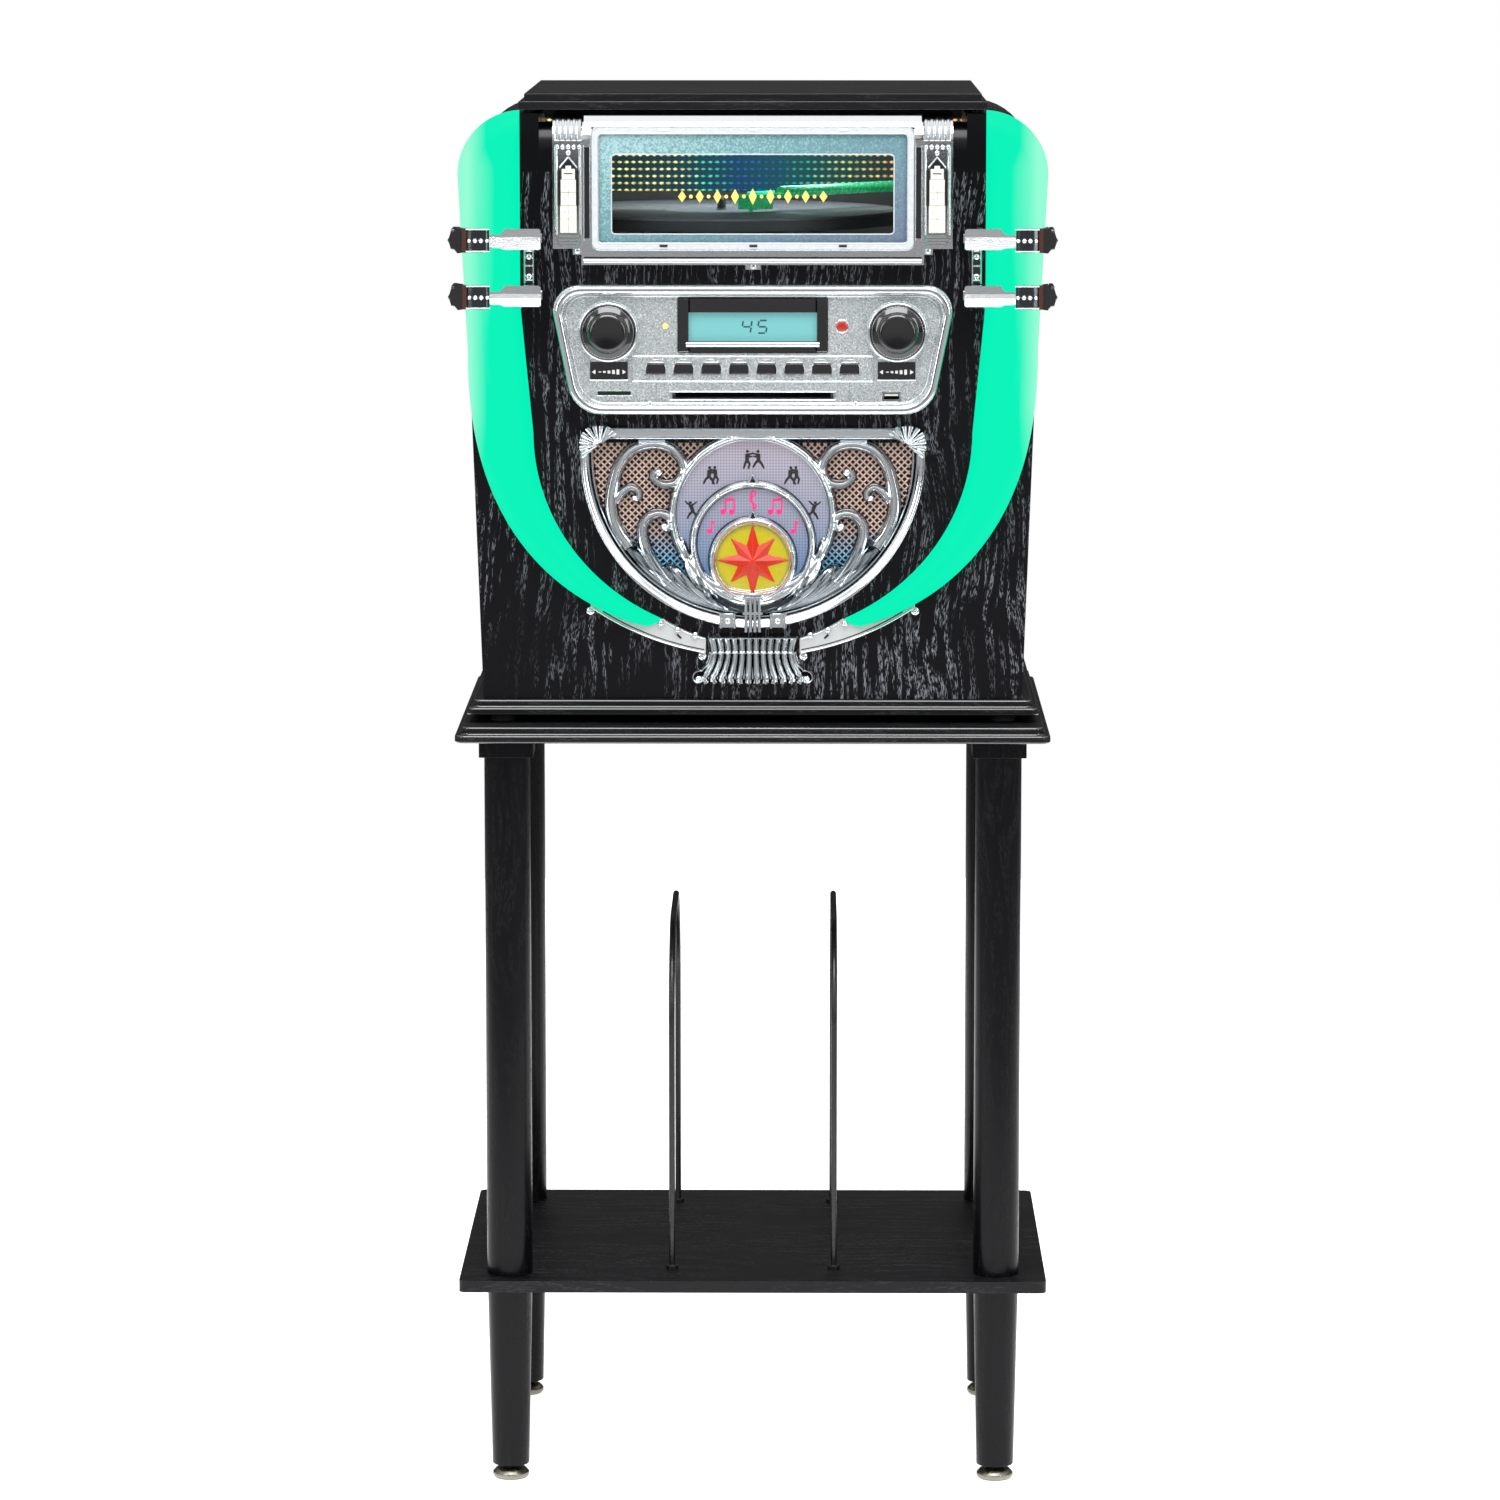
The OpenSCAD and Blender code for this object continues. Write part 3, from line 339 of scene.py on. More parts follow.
def picture_material():
    """The printed panel: lilac above, blue below, with a faint woven lattice."""
    made = material("picture_print", (0.3, 0.28, 0.36), 0.22, Emission__Strength=0.18, Coat__Weight=0.6)
    tree = made.node_tree
    axes = axes_of(tree)
    height = maths(tree, "MULTIPLY_ADD", axes["Z"], 8.0, -5.85)
    tone = ramp(tree, height, (0.05, (0.06, 0.15, 0.3)), (0.45, (0.22, 0.24, 0.32)),
                (0.95, (0.33, 0.3, 0.35)))
    slopes = [maths(tree, what, axes["X"], axes["Z"]) for what in ("ADD", "SUBTRACT")]
    waves = [maths(tree, "SINE", maths(tree, "MULTIPLY", slope, 1350.0)) for slope in slopes]
    lattice = maths(tree, "MULTIPLY_ADD", maths(tree, "MULTIPLY", *waves), 0.5, 0.5)
    print_colour = blended(tree, 1.0, tone, ramp(tree, lattice, (0.1, 0.62), (0.7, 1)), "MULTIPLY")
    feed(made, "Base Color", print_colour)
    feed(made, "Emission Color", print_colour)
    return made


def copper_material():
    """The grille's wires: copper above, blue in the light of the lower corners."""
    made = finish("copper_mesh", (0.42, 0.3, 0.25), 0.4, 0.5, 0.3, 0.55, 700)
    tree = made.node_tree
    height = maths(tree, "MULTIPLY_ADD", axes_of(tree)["Z"], 25.0, -18.9)
    feed(made, "Base Color", ramp(tree, height, (0, (0.1, 0.28, 0.42)), (0.35, (0.2, 0.24, 0.3)),
                                  (0.7, (0.42, 0.3, 0.25))))
    return made


CHROME = finish("chrome", (0.8, 0.83, 0.85), 0.07, 1, 0.03, 0.1)
# Chrome painted dark: painted shade and painted dark reflections, for the grille's ground, its outlines and
# the clamps' beaded plates.
SHADE = finish("chrome_in_shade", (0.1, 0.11, 0.12), 0.12, 1, 0.08, 0.2)
NICKEL = finish("antique_nickel", (0.24, 0.23, 0.19), 0.3, 1, 0.2, 0.5, 300)
STEEL = finish("steel", (0.5, 0.52, 0.55), 0.35, 1, 0.25, 0.45)
BRASS = finish("brass", (0.7, 0.5, 0.2), 0.25, 1, 0.18, 0.35)
WIRE = finish("black_wire", (0.006, 0.006, 0.007), 0.3, 0, 0.25, 0.4, Coat__Weight=0.1)
RUBBER = finish("rubber", (0.014, 0.014, 0.015), 0.8, 0, 0.7, 0.95, 500, 0.00012)
GROOVED = finish("mat_rubber", (0.1, 0.095, 0.11), 0.35, 0, 0.3, 0.45, 200)
PLASTIC = finish("black_plastic", (0.02, 0.02, 0.022), 0.45, 0, 0.35, 0.55, 900, 0.0001)
GLOSS = finish("gloss_black", (0.006, 0.006, 0.007), 0.12, 0, 0.08, 0.2, 60, Coat__Weight=0.8)
LACQUER = finish("lacquered_edge", (0.004, 0.004, 0.005), 0.3, 0, 0.25, 0.4, 60, Coat__Weight=1.0,
                 Coat__Roughness=0.06, Coat__IOR=1.75)
BOARD = finish("circuit_board", (0.006, 0.035, 0.016), 0.35, 0, 0.25, 0.5, 600)
HARDBOARD = finish("hardboard", (0.014, 0.013, 0.013), 0.6, 0, 0.5, 0.75, 250, 0.0002)
IVORY = finish("ivory", (0.78, 0.74, 0.64), 0.35, 0, 0.28, 0.45, 400, Subsurface__Weight=0.1)
# Gold with a faint glow: painted brightness for the light the gold reflects.
GOLD_PAINTED_GLOW = finish("gold", (0.9, 0.7, 0.16), 0.3, 0.2, 0.25, 0.4, 500, glow=(0.35, (0.9, 0.66, 0.14)))
COPPER = copper_material()
SPEAKER_CLOTH = finish("speaker_cloth", (0.012, 0.01, 0.01), 0.9, 0, 0.8, 1.0, 900, 0.0002)
SILVER = glitter("silver_face", (0.36, 0.4, 0.41), (0.62, 0.66, 0.67))
RED = finish("star_red", (0.5, 0.022, 0.004), 0.3, 0, 0.22, 0.34, 80, Coat__Weight=0.12,
             Specular__IOR__Level=0.3)
YELLOW = finish("disc_yellow", (0.42, 0.36, 0.01), 0.25, 0, 0.2, 0.35, 80)
PINK = finish("note_pink", (0.8, 0.02, 0.2), 0.4, 0, 0.35, 0.5, 300)
INK = finish("figure_ink", (0.004, 0.004, 0.005), 0.5, 0, 0.4, 0.6, 300)
LCD = finish("lcd", (0.1, 0.3, 0.31), 0.2, 0, 0.12, 0.25, 60, glow=(0.3, (0.27, 0.62, 0.6)))
DIGITS = finish("lcd_digits", (0.01, 0.06, 0.09), 0.4, 0, 0.35, 0.5, 300)
WHITE_PRINT = finish("white_print", (0.75, 0.75, 0.75), 0.5, 0, 0.45, 0.6, 300)
LAMP = finish("lamp", (0.9, 0.6, 0.1), 0.3, 0, 0.2, 0.4, 300, glow=(1.5, (1, 0.66, 0.12)))
RED_WINDOW = finish("red_window", (0.35, 0.02, 0.01), 0.15, 0, 0.1, 0.2, 80, Coat__Weight=0.8)
GREEN_GLOW = finish("green_glow", (0.0, 0.2, 0.1), 0.3, 0, 0.2, 0.4, 300, glow=(1.6, (0.0, 0.9, 0.45)))
BROWN = finish("dark_bronze", (0.05, 0.014, 0.008), 0.15, 0, 0.1, 0.2, 80, Coat__Weight=0.8)
TRIM = finish("satin_silver", (0.5, 0.52, 0.52), 0.35, 0.2, 0.3, 0.4, 60, Coat__Weight=0.4)
RIM = finish("clear_grey_rim", (0.52, 0.55, 0.57), 0.3, 0, 0.2, 0.35, 200, Coat__Weight=0.5)
LINING = finish("well_lining", (0.16, 0.15, 0.19), 0.5, 0, 0.4, 0.6, 300, 0.0001)
ARM_GREEN = finish("arm_lit_green", (0.1, 0.5, 0.25), 0.25, 0.6, 0.18, 0.35, 300,
                   glow=(0.35, (0.0, 0.5, 0.14)))
GLASS = finish("window_glass", (0.85, 0.95, 0.97), 0.03, 0, 0.01, 0.05, 60, 0.00001, Transmission__Weight=1.0,
               IOR=1.2)
FLOOR = finish("floor", (0.9, 0.9, 0.9), 0.9, 0, 0.85, 0.95, 8, 0.00001, glow=(0.86, (1, 1, 1)),
               Specular__IOR__Level=0.0)
GLOW = glow_material()
FOIL = foil_material()
FROST = frost_material()
PICTURE = picture_material()
FRONT_ASH = ash("ash_front", "z", 0.55, plain_above=1.066)
SIDE_ASH = ash("ash_side", "z", 0.2, wrapped=True)
TOP_ASH = ash("ash_top", "x", 0.04, 0.0, 0.46)
LEG_ASH = ash("ash_leg", "z", 0.012, 0.12, 0.3, 0.1)
SHELF_ASH = ash("ash_shelf", "x", 0.05, 0.0, 0.4)


# ---------------------------------------------------------------- mesh helpers
def new_mesh(name, parts, look):
    """One mesh from shapes given as vertices and faces."""
    verts, faces = merge(*parts)
    mesh = bpy.data.meshes.new(name)
    mesh.from_pydata([tuple(c * MM for c in v) for v in verts], [], faces)
    mesh.materials.append(look)
    return mesh


@contextlib.contextmanager
def editing(mesh):
    """The mesh as a bmesh, written back when the block ends."""
    tidy = bmesh.new()
    tidy.from_mesh(mesh)
    yield tidy
    tidy.to_mesh(mesh)
    tidy.free()


def piece(name, parts, look, body="cabinet", replaces=(), crease=35):
    mesh = new_mesh(name, parts, look)
    with editing(mesh) as tidy:
        bmesh.ops.remove_doubles(tidy, verts=tidy.verts, dist=1e-6)
        bmesh.ops.recalc_face_normals(tidy, faces=tidy.faces)
    return settle(name, mesh, body, replaces, crease)


def settle(name, mesh, body, replaces, crease):
    mesh.polygons.foreach_set("use_smooth", [True] * len(mesh.polygons))
    mesh.set_sharp_from_angle(angle=math.radians(crease))
    made = bpy.data.objects.new(name, mesh)
    bpy.context.collection.objects.link(made)
    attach(made, body)
    if replaces:
        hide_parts(*replaces)
    return made


def soften(made, width, segments=2, edge_look=None):
    """Rounds the sharp edges of a piece, which may have a finish of their own."""
    edge = made.modifiers.new("edges", "BEVEL")
    edge.width = width * MM
    edge.segments = segments
    edge.limit_method = "ANGLE"
    edge.angle_limit = math.radians(35)
    edge.harden_normals = True
    if edge_look:
        made.data.materials.append(edge_look)
        edge.material = 1
    return made


def refine(node, look, width, segments=2, edge_look=None):
    """A CAD node with its edges rounded and its own finish."""
    mesh = frame["nodes"][node].data.copy()
    with editing(mesh) as tidy:
        bmesh.ops.remove_doubles(tidy, verts=tidy.verts, dist=2e-6)
        bmesh.ops.dissolve_limit(tidy, angle_limit=math.radians(0.5), verts=tidy.verts, edges=tidy.edges)
    mesh.materials.clear()
    mesh.materials.append(look)
    made = settle(node + "_shell", mesh, BODY_OF[node], (node,), 35)
    return soften(made, width, segments, edge_look)


def loft(loops, cap_start=True, cap_end=True):
    """Joins closed loops of equal length into one skin."""
    count = len(loops[0])
    verts = [v for loop in loops for v in loop]
    faces = []
    for k in range(len(loops) - 1):
        for i in range(count):
            j = (i + 1) % count
            faces.append((k * count + i, k * count + j, (k + 1) * count + j, (k + 1) * count + i))
    if cap_start:
        faces.append(tuple(range(count)))
    if cap_end:
        faces.append(tuple((len(loops) - 1) * count + i for i in range(count)))
    return verts, faces


def merge(*parts):
    verts, faces = [], []
    for v, f in parts:
        base = len(verts)
        verts += v
        faces += [tuple(base + i for i in face) for face in f]
    return verts, faces


def plate(outline, y0, y1, chamfer=0.6):
    """A flat piece from an (x, z) outline, its front edge eased towards the middle."""
    cx = sum(p[0] for p in outline) / len(outline)
    cz = sum(p[1] for p in outline) / len(outline)

    def drawn_in(p):
        away = math.hypot(p[0] - cx, p[1] - cz) or 1
        share = max(0.0, 1 - chamfer / away)
        return cx + (p[0] - cx) * share, cz + (p[1] - cz) * share

    front = [drawn_in(p) for p in outline]
    return loft([[(x, y1, z) for x, z in outline], [(x, y0 + chamfer, z) for x, z in outline],
                 [(x, y0, z) for x, z in front]])


def box(x, y, z, chamfer=0.4):
    return plate([(x[0], z[0]), (x[1], z[0]), (x[1], z[1]), (x[0], z[1])], y[0], y[1], chamfer)


def slab(middle, half, y, z, chamfer=0.4):
    return box((middle - half, middle + half), y, z, chamfer)


def circle(centre, radius, steps):
    return [(centre[0] + radius * math.cos(a), centre[1] + radius * math.sin(a))
            for a in (2 * math.pi * i / steps for i in range(steps))]


def lathe(profile, centre, steps=48):
    """Turns (radius, y) points about an axis that runs front to back."""
    return loft([[(x, y, z) for x, z in circle(centre, radius, steps)] for radius, y in profile])


def lathe_up(profile, centre, steps=96):
    """Turns (radius, z) points about an upright axis."""
    return loft([[(x, y, z) for x, y in circle(centre, radius, steps)] for radius, z in profile])


def curve(points, steps=10):
    """A smooth run through given points (Catmull-Rom)."""
    ends = [points[0]] + list(points) + [points[-1]]
    run = []
    for a, b, c, d in zip(ends, ends[1:], ends[2:], ends[3:]):
        for i in range(steps):
            t = i / steps
            run.append(tuple(0.5 * (2 * q + (r - p) * t + (2 * p - 5 * q + 4 * r - s) * t * t
                             + (3 * q - p - 3 * r + s) * t ** 3) for p, q, r, s in zip(a, b, c, d)))
    run.append(tuple(points[-1]))
    return run


ROUND = [(math.cos(math.radians(a)), math.sin(math.radians(a))) for a in range(0, 181, 20)]
RIDGE = [(1, 0), (0, 1), (-1, 0)]
BAND = [(1, 0), (0.97, 0.6), (0.86, 0.88), (0.6, 1), (0, 1), (-0.6, 0.98), (-0.86, 0.86), (-0.97, 0.6),
        (-1, 0)]
SWELL = [(1, 0), (0.95, 0.55), (0.8, 0.8), (0.5, 0.93), (0, 1), (-0.5, 0.93), (-0.8, 0.8), (-0.95, 0.55),
         (-1, 0)]
TWIN = [(1, 0), (0.85, 0.8), (0.55, 1), (0.22, 0.55), (-0.22, 0.55), (-0.55, 1), (-0.85, 0.8), (-1, 0)]


def relief(path, width, base, rise, closed=False, section=ROUND):
    """A raised band along an (x, z) path, its crown in front of base. Half width and rise are numbers, or
    functions of the share of the way along."""
    n = len(path)
    loops = []
    for i, (x, z) in enumerate(path):
        before = path[(i - 1) % n] if closed else path[max(i - 1, 0)]
        after = path[(i + 1) % n] if closed else path[min(i + 1, n - 1)]
        dx, dz = after[0] - before[0], after[1] - before[1]
        size = math.hypot(dx, dz) or 1
        sx, sz = -dz / size, dx / size
        t = i / max(n - 1, 1)
        w, h = (v(t) if callable(v) else v for v in (width, rise))
        loops.append([(x + sx * w * across, base - h * up, z + sz * w * across) for across, up in section])
    if closed:
        return loft(loops + [loops[0]], False, False)
    return loft(loops)


def rounded(x0, x1, z0, z1, r, steps=6):
    """A rectangle with round corners, as an (x, z) outline."""
    run = []
    for cx, cz, start in ((x1 - r, z1 - r, 0), (x0 + r, z1 - r, 90), (x0 + r, z0 + r, 180),
                          (x1 - r, z0 + r, 270)):
        for i in range(steps + 1):
            a = math.radians(start + 90 * i / steps)
            run.append((cx + r * math.cos(a), cz + r * math.sin(a)))
    return run


def band_between(outer, inner, y0, y1):
    """A flat band between two outlines of equal length."""
    loops = [[(x, y, z) for x, z in line] for line, y in ((outer, y1), (outer, y0), (inner, y0), (inner, y1))]
    return loft(loops + [loops[0]], False, False)


def ring(centre, radius, width, base, rise, steps=96):
    return relief(circle(centre, radius, steps), width, base, rise, True)


def level(x0, x1, z, width, base, rise):
    return relief([(x0, z), (x1, z)], width, base, rise)


def upright(x, z0, z1, width, base, rise):
    return relief([(x, z0), (x, z1)], width, base, rise)


def four_bars(x0, x1, z0, z1, *size):
    """Straight bars round a rectangle."""
    corners = [(x0, z0), (x1, z0), (x1, z1), (x0, z1)]
    return [relief([a, b], *size) for a, b in zip(corners, corners[1:] + corners[:1])]


def bead(x, z, r, base, rise=None, steps=14):
    rise = rise or r
    profile = [(r * math.cos(a), base - rise * math.sin(a)) for a in
               (math.radians(v) for v in (0, 18, 36, 54, 72, 86))]
    return lathe(profile, (x, z), steps)


def mirror_parts(part):
    verts, faces = part
    return merge(part, ([(-x, y, z) for x, y, z in verts], [tuple(reversed(f)) for f in faces]))


def taper(big, small):
    return lambda t: big + (small - big) * t


def screw(x, z, r, base):
    """A domed cross-head screw: a dome with four raised quarters round its slot."""
    quarters = [bead(x + sx * r * 0.42, z + sz * r * 0.42, r * 0.3, base - r * 0.42, r * 0.2, 8)
                for sx in (-1, 1) for sz in (-1, 1)]
    return merge(bead(x, z, r, base, r * 0.55, 20), *quarters)


# ---------------------------------------------------------------- lit arches
SHOULDER = (183.4, 1064.0)
ARCH_OUT = (227.2, 234.6, 928.0, 2.4)
ARCH_IN = (175.3, 163.9, 858.0, 2.0)
ARCH_R = 51.0


def arch_z(shape, x):
    half, drop, middle, power = shape
    return middle - drop * max(0.0, 1 - (x / half) ** power) ** (1 / power)


def arch_run(shape, x0, x1, steps):
    run = []
    for i in range(steps + 1):
        a = math.asin(min(1, x0 / shape[0])) * (1 - i / steps) + math.asin(min(1, x1 / shape[0])) * i / steps
        x = shape[0] * math.sin(a)
        run.append((x, arch_z(shape, x)))
    return run


def arch_outline(inset):
    outer = (ARCH_OUT[0] - inset, ARCH_OUT[1] - inset, *ARCH_OUT[2:])
    inner = (ARCH_IN[0] + inset, ARCH_IN[1] + inset, *ARCH_IN[2:])
    radius = ARCH_R - inset
    shoulder = [(SHOULDER[0] + radius * math.cos(a), SHOULDER[1] + radius * math.sin(a))
                for a in (math.radians(88 - 5.5 * i) for i in range(17))]
    lower = arch_run(outer, outer[0], 86 + 5.6 * inset, 34)
    upper = arch_run(inner, 74 + 7 * inset, inner[0], 34)
    (x0, z0), (x1, z1) = lower[-1], upper[0]
    swell = max(0.0, 1 - inset / 15)
    end = [(x0 + (x1 - x0) * t - 0.46 * out * swell, z0 + (z1 - z0) * t - 0.89 * out * swell)
           for t, out in ((0.25, 1.2), (0.5, 1.7), (0.75, 1.6), (0.92, 0.8))]
    return (shoulder + lower + end + upper
            + [(185.2 + inset, 960 + 18.2 * i) for i in range(7)])


def make_arches():
    """Tubes with a quarter-round edge; the stored number is high at the outer edge, above the lower bend."""
    rim, depth = 15.0, 22.0
    loops = [[(x, FACE, z) for x, z in arch_outline(0)]]
    for i in range(9):
        turn = math.radians(90 * i / 8)
        y = FACE - 5 - (depth - 5) * math.sin(turn)
        loops.append([(x, y, z) for x, z in arch_outline(rim * (1 - math.cos(turn)))])
    verts, faces = loft(loops)
    edge = [max(0.0, min(1.0, (x - 209) / 18)) * max(0.0, min(1.0, (z - 800) / 80)) for x, _, z in verts]
    for side, name in ((-1, "arch_tube_left"), (1, "arch_tube_right")):
        mesh = new_mesh(name + "_skin", [([(side * x, y, z) for x, y, z in verts], faces)], GLOW)
        glow = mesh.attributes.new("edge", "FLOAT", "POINT")
        glow.data.foreach_set("value", edge)
        with editing(mesh) as tidy:
            bmesh.ops.recalc_face_normals(tidy, faces=tidy.faces)
            bmesh.ops.triangulate(tidy, faces=[f for f in tidy.faces if len(f.verts) > 4])
        settle(name + "_skin", mesh, "cabinet", (name,), 60)


def make_clamps():
    """Each clamp has two arms, each a faceted bar, a beaded plate and a dark end, with a link between them.
    The beaded plates are chrome painted dark, for the dark reflection they show.
    """
    tip = [(229.5, 9.8), (234, 10.4), (236.6, 7.4), (239, 7), (240.4, 2.5), (241.8, 0)]
    tip += [(x, -z) for x, z in reversed(tip[:-1])]
    facets = [(7, 9.5), (0.5, 9.0), (-0.2, 2.6), (-1.4, -0.8), (0.4, -7.6), (7, -9.5)]
    bulge = curve([(207, 2), (210, -1.2), (216, -2.6), (222, -2.2), (227, -0.4)], 4)
    link = FACE - 7
    for side, node in ((-1, "arch_clamp_left"), (1, "arch_clamp_right")):
        front = span(node)[0].y + 4.4
        bars, plates, bronze = [], [], []
        dark = [box((174, 181.6), (link, FACE), (976.5, 1004.5))]
        plated = [upright(x, 978, 1004, 0.9, link + 0.5, 2) for x in (174.4, 181.2)]
        plated += [level(174.4, 181.2, z, 0.8, link + 0.5, 1.6) for z in (980.5, 992, 1003.5)]
        plated += [screw(177.8, z, 2.5, link) for z in (983.4, 999.2)]
        for z in (968.0, 1013.0):
            bars.append(loft([[(x, front + y * grow, z + dz * grow) for y, dz in facets]
                              for x, grow in ((168.0, 0.86), (169.5, 1.0), (206.0, 1.0), (208.5, 0.9))]))
            plated += [box((166.8, 168.4), (front, FACE), (z - 2, z + 5)),
                       box((168, 173), (front + 4, FACE), (z - 8, z + 8)),
                       box((236.6, 239.6), (front + 8, -119), (z - 8, z + 8))]
            corners = ((0, -9.5), (0, 9.5), (4, 9.5), (4, -9.5))
            # Painted shade: the beaded plate is dark-plated for the dark reflection it shows.
            plates.append(loft([[(x, front + y + dy, z + dz) for dy, dz in corners] for x, y in bulge]))
            plated += [bead(210.4 + 4.7 * k, z - 0.3, size, front - 1.8, size)
                       for k, size in enumerate((1.7, 2.1, 2.1, 1.8))]
            plated += [relief([(x, z + dz) for x in (208, 217, 227)], 0.8, front - 1.6, 1.6)
                       for dz in (-8.7, 8.7)]
            bronze.append(box((226.6, 230.2), (front - 2.0, front + 5), (z - 9.7, z + 9.7)))
            dark.append(plate([(x, z + dz) for x, dz in tip], front - 0.6, front + 9, 0.8))
        kinds = (("_plated", plated, CHROME, "chrome_plating"), ("_bars", bars, CHROME, "chrome_plating"),
                 ("_beaded_plates_painted_shade", plates, SHADE, "chrome_plating"),
                 ("_dark_ends", dark, GLOSS, "gloss_black"), ("_bronze_bands", bronze, BROWN, "gloss_black"))
        for name, parts, look, slot in kinds:
            verts, faces = merge(*parts)
            piece(node + name, [([(side * x, y, z) for x, y, z in verts], faces)], look,
                  replaces=(node,) if parts is plated else (), crease=4 if parts is bars else 35)


# ---------------------------------------------------------------- window
def win_profile(front, top, steps=10):
    """The section of the window frame, from its foot up and back over the rounded panel."""
    run = [(front + 2, WIN_LOW.z), (front, WIN_LOW.z + 2)]
    for i in range(steps + 1):
        a = math.radians(180 - 90 * i / steps)
        run.append((FACE + 14 + (FACE + 14 - front) * math.cos(a), 1092 + (top - 1092) * math.sin(a)))
    return run


def make_window():
    refine("window_frame", CHROME, 0.7)
    front = WIN_LOW.y
    flat = front + 3
    opening = rounded(-122.6, 122.6, 1010, 1097, 3)
    rim = band_between(rounded(-127.4, 127.4, 1005.4, 1101.6, 6), opening, flat - 1.4, flat)
    piece("window_grey_rim", [rim], RIM)
    bright = [relief(rounded(-127.9, 127.9, 1004.9, 1102.1, 6.4), 0.7, flat, 1.7, True),
              relief(rounded(-122.4, 122.4, 1010.2, 1096.8, 3), 0.5, flat - 1.2, 0.7, True)]
    piece("window_rim_lines", bright, CHROME)
    for name, half, z, look, slot in (("window_rim_clips", 3.2, (1007.2, 1009), GLOSS, "gloss_black"),
                                      ("window_top_clips", 3.6, (1099.2, 1101.2), WHITE_PRINT,
                                       "chrome_plating")):
        piece(name, [slab(x, half, (flat - 2.0, flat), z) for x in (-70.7, 0.5, 71.5)], look)
    rail = [(-160.3, 1101.9), (-155.4, 1110.0), (-152.9, 1111.2), (-152.6, 1102.4)]
    soften(piece("window_top_rail", [loft([[(x, y, z) for y, z in rail] for x in (-134, 134)])], CHROME), 0.5)
    trim = [level(-134, 134, 996, 1.6, flat, 1.3), screw(0.5, 991.6, 3.2, FACE - 2.5),
            box((-6, 6.5), (FACE - 3, FACE), (988.5, 993.5))]
    # Painted shade: thin dark strips where shadow lines fall; this one runs below the rim.
    dark = [box((-134, 134), (front + 2.7, front + 3.2), (998.2, 999.4), 0.1)]
    towers, marks = [], []
    for side in (-1, 1):
        make_pillar(side, front, trim, dark, towers, marks)
    piece("window_chrome_trim", trim, CHROME)
    piece("window_painted_shade_lines", dark, GLOSS)
    piece("pillar_towers", towers, IVORY)
    piece("pillar_tower_marks", marks, NICKEL)
    near, far = PANE_LOW.y, PANE_HIGH.y
    edge = rounded(-112, 112, 1017.3, 1080.4, 3)
    piece("window_frost_border", [band_between(opening, edge, near, far)], FROST)
    piece("window_inner_lip", [relief(edge, 0.5, near, 0.3, True)], RIM)
    piece("window_clear_glass", [box((-113, 113), (near + 0.8, far - 0.8), (1016.5, 1081.5))], GLASS,
          replaces=("window_pane",))
    z = 1047.0
    ornament = [bead(14.0 * k + 7, z, 1.5, near + 0.5, 1.0, 12) for k in range(-4, 4)]
    for k in range(-4, 5):
        x, tall = 14.0 * k, 6.6 - 0.5 * abs(k)
        lozenge = [(x - 3.2, z), (x, z - tall), (x + 3.2, z), (x, z + tall)]
        ornament.append(plate(lozenge, near - 0.5, near + 0.7, 0.4))
    piece("window_gold_ornament", ornament, GOLD_PAINTED_GLOW)
    refine("foil_panel", FOIL, 0.1)


